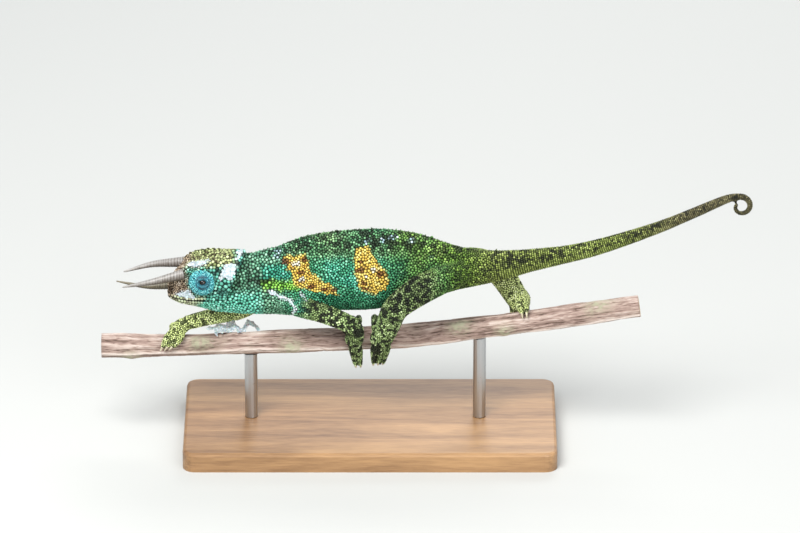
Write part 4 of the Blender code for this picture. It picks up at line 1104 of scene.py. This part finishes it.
def horn_material(name, pale, middle, dark):
    """Horn sheath: waxy and slightly translucent, darker brown in the grooves between rings, with painted
    shade on the underside and a painted highlight along the top.
    """
    material, tree, shader = new_material(name, {
        "Roughness": 0.42, "IOR": 1.54, "Subsurface Weight": 0.08, "Subsurface Scale": 0.001,
        "Subsurface Radius": (1.0, 0.7, 0.5)})
    ring = add_node(tree, "ShaderNodeAttribute", {"attribute_name": "groove_and_painted_shade"})
    stain = add_noise(tree, add_place(tree), 650.0, 4.0, Roughness=0.65)
    total = add_sum(tree, ring.outputs["Fac"], stain, 0.4)
    colour = add_ramp(tree, total, ((0.2, pale), (0.52, middle), (0.95, dark)))
    tree.links.new(colour, shader.inputs["Base Color"])
    add_bump(tree, shader, add_noise(tree, add_place(tree), 5000.0, 2.0), 0.35, 0.05)
    return material


def build_horn(name, node, stations, radius, rings, depth, material, tip_light):
    """A horn with growth rings that are deep near its root and fade towards its tip."""
    def radius_at(share, angle, _):
        ridge = math.sin(math.tau * rings * share + 0.35 * math.sin(angle) + 1.6 * math.sin(17 * share))
        wear = 0.02 * math.sin(3 * angle + 9 * share)
        blunt = math.sqrt(max(1 - max((share - 0.965) / 0.035, 0) ** 2, 0.02))
        return radius * (1 - HORN_TAPER * share) * blunt * (1 + depth * ridge * (1 - 0.75 * share) + wear)

    points = curve_points(stations, HORN_SECTIONS)
    horn = tube(name, points, radius_at, HORN_SIDES)
    # Dark in the grooves, darker on the underside as painted shade, which leaves the top paler as a painted
    # highlight, and pale towards the tip.
    root, tip = points[0].x, points[-1].x
    groove_and_shade_values = []
    for vert in horn.data.vertices:
        share = (vert.co.x / MM - root) / (tip - root)
        ridge = math.sin(math.tau * rings * share + 1.6 * math.sin(17 * share))
        # Painted shade: the underside is darkened, so the top stays pale as a painted highlight.
        underside_painted_shade = 0.5 - 0.5 * vert.normal.z
        worn = tip_light * float(ramp(np.array(share), 0.8, 1.0))
        groove_and_shade_values.append(0.26 * (0.5 - 0.5 * ridge) * (1 - share) + 0.5 * underside_painted_shade**1.5 - worn)
    horn.data.attributes.new("groove_and_painted_shade", "FLOAT", "POINT").data.foreach_set("value", groove_and_shade_values)
    pivot = Matrix.Translation((0, 0, HEAD_PIVOT_Z * MM))
    horn.data.transform(pivot @ Matrix.Rotation(math.radians(HEAD_ROLL), 4, "X") @ pivot.inverted())
    horn.data.materials.append(material)
    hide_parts(node)
    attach(horn, "root")


pale_horn = horn_material("horn_sheath_pale", "#938f8a", "#574e46", "#221a13")
dark_horn = horn_material("horn_sheath_dark", "#6b634e", "#39311e", "#17110a")
for side_name, side in SIDES:
    stations = [(x, y * side, z) for x, y, z in BROW_HORN]
    build_horn("horn_brow_" + side_name, "horn_preocular_" + side_name, stations, BROW_RADIUS, 23, 0.016,
               pale_horn, 0.2)
build_horn("horn_snout", "horn_rostral", SNOUT_HORN, SNOUT_RADIUS, 24, 0.05, dark_horn, 0.5)


# Claws. Each toe ends in one short, hooked, bony claw in a pale sheath of horn, rooted in the
# toe's flesh, with its point on the bark.
CLAW_SIDES = 9
CLAW_REACHES = (-0.5, 0.1, 0.6, 1.15, 1.6, 1.95)
CLAW_DROPS = (0.0, 0.0, 0.05, 0.2, 0.48, 0.85)
CLAW_RADIUS = 0.52


def claw_radius(share, angle, _):
    """The claw's radius in mm, a little deeper than wide and drawn out to a point."""
    return CLAW_RADIUS * (1 - share) ** 0.7 * (1 + 0.1 * math.cos(angle * 2)) + 0.05


claws = []
for number, (end, heading, inward) in enumerate(toe_ends()):
    points = [end + heading * reach + inward * drop for reach, drop in zip(CLAW_REACHES, CLAW_DROPS)]
    claws.append(tube(f"claw_{number}", points, claw_radius, CLAW_SIDES))
joined = bmesh.new()
for claw in claws:
    joined.from_mesh(claw.data)
    bpy.data.objects.remove(claw)
claw_mesh = bpy.data.meshes.new("claws")
joined.to_mesh(claw_mesh)
joined.free()
claws = new_object("claws", claw_mesh)
for face in claw_mesh.polygons:
    face.use_smooth = True
groove_and_shade_values = claw_mesh.attributes.new("groove_and_painted_shade", "FLOAT", "POINT")
groove_and_shade_values.data.foreach_set("value", np.full(len(claw_mesh.vertices), 0.25))
claw_mesh.materials.append(horn_material("horn_claw", "#d6cdb6", "#a2987c", "#3c3426"))
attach(claws, "root")


# Shed skin. The outer skin is coming away in papery white flakes behind the casque, over the
# eye, on the lip and over the shoulder, and one torn ribbon hangs under the right arm.
SHED_LIFT = 0.34
SHED_THICKNESS = 0.07
# The ribbon's two pieces as outlines of x and shown height, hung between the arm and the branch.
RIBBONS = (
    ((-66.8, 46.1), (-64.0, 48.3), (-60.0, 48.7), (-57.6, 50.0), (-56.0, 51.4), (-53.6, 48.7), (-52.0, 47.0),
     (-50.4, 45.4), (-52.8, 46.0), (-54.8, 46.1), (-57.6, 45.2), (-59.2, 43.9), (-60.4, 45.6), (-61.6, 43.4),
     (-62.8, 44.3), (-63.2, 46.5), (-65.6, 45.6)),
    ((-54.0, 46.2), (-51.4, 47.8), (-49.4, 50.4), (-47.4, 50.6), (-45.0, 48.4), (-43.4, 45.4),
     (-45.0, 45.4), (-46.8, 47.4), (-48.4, 48.0), (-49.8, 45.8), (-51.4, 44.2), (-53.6, 44.2)),
)
FLAKE_GRID = 0.24
CAST_FROM = 60.0


def ragged_sheet(bm, outline, placed):
    """A thin sheet inside an outline, with torn edges; placed gives a place and its normal."""
    corners = np.array(outline)
    low, size = corners.min(0) - 0.6, np.ptp(corners, axis=0) + 1.2
    steps = np.ceil(size / FLAKE_GRID).astype(int)
    verts = bmesh.ops.create_grid(bm, x_segments=int(steps[0]), y_segments=int(steps[1]), size=0.5)["verts"]
    flat = np.array([(vert.co.x + 0.5, vert.co.y + 0.5) for vert in verts]) * size + low
    spots = np.column_stack([flat[:, 0], np.full(len(flat), low[1]), flat[:, 1]]) * MM
    torn = np.column_stack([grain(spots, 1.5, 31), grain(spots, 1.5, 32)]) * 0.4
    within = inside(flat[:, 0] + torn[:, 0], flat[:, 1] + torn[:, 1], outline, 0.1) > 0.5
    for vert, (x, w) in zip(verts, flat):
        vert.co = (x, w, 0)
    bmesh.ops.delete(bm, geom=[vert for vert, keep in zip(verts, within) if not keep], context="VERTS")
    verts = [vert for vert, keep in zip(verts, within) if keep]
    rim = [vert for vert in verts if vert.is_boundary]
    for _ in range(2):
        bmesh.ops.smooth_vert(bm, verts=rim, factor=0.5, use_axis_x=True, use_axis_y=True)
    lost = []
    for vert in verts:
        found = placed(vert.co.x, vert.co.y)
        if found is None or not vert.link_faces:
            lost.append(vert)
            continue
        lift = SHED_LIFT + 0.1 * noise.noise(found[0] / 0.9)
        lift += 0.3 * vert.is_boundary * noise.noise(found[0] / 2.5)
        vert.co = (found[0] + found[1] * lift) * MM
    bmesh.ops.delete(bm, geom=lost, context="VERTS")
    faces = list({face for vert in verts if vert.is_valid for face in vert.link_faces})
    bmesh.ops.solidify(bm, geom=faces, thickness=SHED_THICKNESS * MM)


def on_left_skin(x, w):
    """The place on the left side's skin that shows at this height, and the skin's normal there."""
    start = Vector((x, -CAST_FROM, w + CAST_FROM * VIEW_SLOPE)) * MM
    hit = skin_tree.ray_cast(start, Vector((0, 1, -VIEW_SLOPE)).normalized())
    return (hit[0] / MM, hit[1]) if hit[0] else None


def under_arm(x, w):
    """A place between the underside of the right arm and the top of the branch, and its normal."""
    y = -1.6 + (w - 44.5) * 1.55
    sway = 0.5 * math.sin(x * 1.1 + w * 0.5) + 0.3 * math.sin(w * 2.3)
    return Vector((x, y, w - VIEW_SLOPE * y + sway)), Vector((0, -0.3, 0.95))


flakes = bmesh.new()
for outline in SHED_PATCHES.values():
    ragged_sheet(flakes, outline, on_left_skin)
for outline in RIBBONS:
    ragged_sheet(flakes, outline, under_arm)
bmesh.ops.recalc_face_normals(flakes, faces=flakes.faces)
shed = new_object("shed_skin_flakes", bpy.data.meshes.new("shed_skin_flakes"))
flakes.to_mesh(shed.data)
flakes.free()
# Shed keratin: dry, papery and slightly see-through, with the print of the scales 0.9 mm apart.
material, tree, shader = new_material(
    "shed_keratin_film", {"Roughness": 0.55, "IOR": 1.5, "Subsurface Weight": 0.2, "Subsurface Scale": 0.0006})
scale_print = add_node(tree, "ShaderNodeTexVoronoi", {"Scale": 1150.0}, {"Vector": add_place(tree)})
colour = add_ramp(tree, scale_print.outputs["Distance"], ((0.0, "#d3dbde"), (0.8, "#8d989c")))
tree.links.new(colour, shader.inputs["Base Color"])
add_bump(tree, shader, scale_print.outputs["Distance"], 0.6, 0.12, True)
shed.data.materials.append(material)
for face in shed.data.polygons:
    face.use_smooth = True
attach(shed, "root")


# Branch. A dead twig of soft wood, cut square at both ends. Its thin pinkish bark has long
# ridges and cracks, and a few knots.
# Knots: x, angle from the top, height and length.
KNOTS = ((-68.0, 60.0, 1.9, 3.4), (-96.0, 150.0, 0.8, 3.0), (-31.0, 100.0, 0.7, 3.0), (36.0, 40.0, 0.8, 3.4),
         (54.0, 110.0, 1.0, 2.6), (92.0, 20.0, 0.9, 3.2))
BARK_SIDES, BARK_SECTIONS = 112, 520
LEDGE_ANGLE, LEDGE_HEIGHT, LEDGE_WIDTH = 118, 0.4, 0.16


def bark_relief(x, angle):
    """Height of the bark in mm over the branch's plain round, by place along and angle from top."""
    around = Vector((math.cos(angle), math.sin(angle), 0))
    ridges = noise.fractal(Vector((x * 0.035, around.x * 3.1, around.y * 3.1)), 1.0, 2.1, 4)
    cracks = noise.noise(Vector((x * 0.11 + 40, around.x * 7.5, around.y * 7.5)))
    crack = -0.3 * max(0.16 - abs(cracks), 0) / 0.16
    strand = 0.07 * noise.noise(Vector((x * 0.22, around.x * 19, around.y * 19)))
    off_ledge = math.remainder(angle - math.radians(LEDGE_ANGLE) - 0.25 * math.sin(x * 0.03), math.tau)
    ledge = LEDGE_HEIGHT * math.exp(-((off_ledge / LEDGE_WIDTH) ** 2))
    return 0.3 * ridges + crack + strand + ledge


def knot_bulge(knot, x, angle, spread_x, spread_angle):
    """How much of a knot there is at this place: 1 at its middle, fading over these spreads."""
    knot_x, knot_angle, _, length = knot
    turn = math.remainder(angle - math.radians(knot_angle), math.tau)
    return math.exp(-(((x - knot_x) / (spread_x * length)) ** 2) - (turn / spread_angle) ** 2)


def bark_radius(share, angle, point):
    """The bark's radius in mm; the tube's own angle starts at the side of its first section."""
    x, angle = point.x, angle + bark_turn
    swelling = 0.16 * math.sin(x * 0.11 + 2 * angle) + 0.1 * math.sin(x * 0.31 - 3 * angle)
    swelling += sum(knot[2] * knot_bulge(knot, x, angle, 1.0, 0.5) for knot in KNOTS)
    return float(np.interp(x, BRANCH_X, BRANCH_RADIUS)) + swelling + bark_relief(x, angle) - 0.1


# The centre line, eased between its stations.
xs = np.linspace(BRANCH_X[0], BRANCH_X[-1], BARK_SECTIONS)
width = BARK_SECTIONS // 24
padded = np.pad(np.interp(xs, BRANCH_X, BRANCH_Z), width, mode="reflect", reflect_type="odd")
heights = np.convolve(padded, np.ones(2 * width + 1) / (2 * width + 1), mode="valid")
line = [Vector((x, 0, z)) for x, z in zip(xs, heights)]
first_side = (line[1] - line[0]).normalized().orthogonal().normalized()
bark_turn = math.atan2(-first_side.y, first_side.z)
bark = tube("branch_bark", line, bark_radius, BARK_SIDES)
# Height of the bark for its colour, and grey-green lichen that grows thickest round the knots.
relief, lichen = [], []
for vert in bark.data.vertices:
    x = vert.co.x / MM
    angle = math.atan2(-vert.co.y, vert.co.z - branch_centre(x).z * MM)
    relief.append(0.3 + 0.55 * bark_relief(x, angle))
    grown = 0.25 * max(noise.noise(vert.co / (7 * MM)), 0)
    grown += 0.9 * sum(knot_bulge(knot, x, angle, 1.3, 0.75) for knot in KNOTS)
    lichen.append(min(grown * (0.75 + 0.9 * noise.noise(vert.co / (1.4 * MM))), 0.85))
bark.data.attributes.new("relief", "FLOAT", "POINT").data.foreach_set("value", relief)
bark.data.attributes.new("lichen", "FLOAT", "POINT").data.foreach_set("value", lichen)
# Bark: dull and dry, pinkish grey on the ridges and dark brown in cracks 1 to 2 mm apart.
bark_material, tree, shader = new_material("weathered_bark", {"Roughness": 0.85, "IOR": 1.4})
height = add_node(tree, "ShaderNodeAttribute", {"attribute_name": "relief"})
streaks = add_noise(tree, add_place(tree, (0.08, 1.0, 1.0)), 3200.0, 4.0, Roughness=0.7)
total = add_sum(tree, height.outputs["Fac"], streaks, 0.4)
total = add_sum(tree, total, add_noise(tree, add_place(tree), 90.0, 3.0), 0.3)
colour = add_ramp(tree, total, ((0.34, "#2a1f19"), (0.46, "#57453c"), (0.57, "#826c62"), (0.68, "#a08b80"),
                                (0.86, "#cdbfb5")))
grown = add_node(tree, "ShaderNodeAttribute", {"attribute_name": "lichen"})
crust = add_node(tree, "ShaderNodeMix", {"data_type": "RGBA"}, {0: grown.outputs["Fac"], 6: colour})
crust.inputs[7].default_value = (*linear("#9a9a80"), 1)
tree.links.new(crust.outputs[2], shader.inputs["Base Color"])
add_bump(tree, shader, streaks, 0.7, 0.3)
bark.data.materials.append(bark_material)

# The cut ends show pale wood with growth rings about 0.6 mm apart round the pith.
cut_material, tree, shader = new_material("cut_softwood_end", {"Roughness": 0.7, "IOR": 1.45})
place = add_node(tree, "ShaderNodeTexCoord")
centred = add_node(tree, "ShaderNodeMapping", {"Location": (0, 0, -BRANCH_Z[0] * MM)},
                   {"Vector": place.outputs["Object"]})
rings = add_node(tree, "ShaderNodeTexWave", {
    "wave_type": "RINGS", "rings_direction": "X", "Scale": 260.0, "Distortion": 2.5, "Detail": 3.0,
}, {"Vector": centred.outputs["Vector"]})
colour = add_ramp(tree, rings.outputs["Fac"], ((0.0, "#a98a66"), (1.0, "#d8c09a")))
tree.links.new(colour, shader.inputs["Base Color"])
bark.data.materials.append(cut_material)
for face in bark.data.polygons:
    if abs(face.normal.x) > 0.9 and abs(abs(face.center.x) - BRANCH_X[-1] * MM) < 0.5 * MM:
        face.material_index = 1
        face.use_smooth = False
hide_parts("perch_branch")
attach(bark, "root")


# Stand. An oiled oak board with eased edges, and two turned rods of brushed steel let into it
# that reach the underside of the branch.
# Oil leaves the wood warm and half dull, with a figure along its length and pores 0.7 mm apart.
oak, tree, shader = new_material(
    "oiled_oak", {"Roughness": 0.45, "IOR": 1.5, "Coat Weight": 0.15, "Coat Roughness": 0.3})
grain_place = add_place(tree, (0.09, 1.0, 1.0))
figure = add_noise(tree, grain_place, 110.0, 5.0, Roughness=0.6, Distortion=0.6)
pores = add_noise(tree, grain_place, 1500.0, 2.0)
colour = add_ramp(tree, add_sum(tree, figure, pores, 0.3), ((0.45, "#6a4a2e"), (0.85, "#a88258")))
tree.links.new(colour, shader.inputs["Base Color"])
add_bump(tree, shader, pores, 0.3, 0.1)
nodes["stand_base"].material_slots[0].material = oak

# Brushed stainless steel: grey, with fine turning marks round the rod about 0.3 mm apart.
steel, tree, shader = new_material(
    "brushed_stainless_steel", {"Metallic": 1.0, "Roughness": 0.3, "Base Color": (*linear("#b9babb"), 1)})
marks = add_noise(tree, add_place(tree, (0.1, 0.1, 1.0)), 3300.0, 2.0)
worn = add_node(tree, "ShaderNodeMapRange", {"To Min": 0.22, "To Max": 0.42}, {"Value": marks})
tree.links.new(worn.outputs["Result"], shader.inputs["Roughness"])
add_bump(tree, shader, marks, 0.2, 0.05)
for name in ("stand_rod_front", "stand_rod_rear"):
    nodes[name].material_slots[0].material = steel


# Studio. A plain pale floor of matt paper, a large soft key light from above and in front, a
# fill from the right and a rim light from behind. For each light: its place, width and watts.
FLOOR_HALF_WIDTH = 6.0
LIGHTS = {
    "key_light": ((-0.3, -0.55, 0.95), 0.6, 17.0),
    "fill_light": ((0.5, -0.9, 0.4), 0.8, 7.0),
    "rim_light": ((0.2, 0.8, 0.8), 0.6, 6.0),
}
LIT_POINT = Vector((0, 0, 0.06))
bm = bmesh.new()
bmesh.ops.create_grid(bm, x_segments=1, y_segments=1, size=FLOOR_HALF_WIDTH)
floor = new_object("studio_floor", bpy.data.meshes.new("studio_floor"))
bm.to_mesh(floor.data)
bm.free()
paper, _, _ = new_material("matt_paper", {"Base Color": (*linear("#b9b9b5"), 1), "Roughness": 0.9})
floor.data.materials.append(paper)

world = bpy.data.worlds.new("studio")
world.use_nodes = True
world.node_tree.nodes["Background"].inputs["Color"].default_value = (*linear("#eff6ff"), 1)
world.node_tree.nodes["Background"].inputs["Strength"].default_value = 0.6
bpy.context.scene.world = world
for name, (place, size, power) in LIGHTS.items():
    lamp = bpy.data.lights.new(name, "AREA")
    lamp.size = size
    lamp.energy = power
    light = bpy.data.objects.new(name, lamp)
    light.location = place
    light.rotation_mode = "QUATERNION"
    light.rotation_quaternion = (LIT_POINT - Vector(place)).to_track_quat("-Z", "Y")
    bpy.context.scene.collection.objects.link(light)

# Camera. A 300 mm lens 2.7 m away and 25 degrees above level, square to the animal's left side.
CAMERA_TARGET = Vector((0.012, 0.0, 0.0746))
CAMERA_DISTANCE = 2.667
CAMERA_RISE = 25.0
camera = bpy.data.cameras.new("camera")
camera.lens, camera.sensor_width = 300.0, 36.0
rise = math.radians(CAMERA_RISE)
back = Vector((0, -math.cos(rise), math.sin(rise)))
viewer = bpy.data.objects.new("camera", camera)
viewer.location = CAMERA_TARGET + back * CAMERA_DISTANCE
viewer.rotation_mode = "QUATERNION"
viewer.rotation_quaternion = (-back).to_track_quat("-Z", "Y")
bpy.context.scene.collection.objects.link(viewer)
bpy.context.scene.camera = viewer
bpy.context.scene.view_settings.view_transform = "Standard"
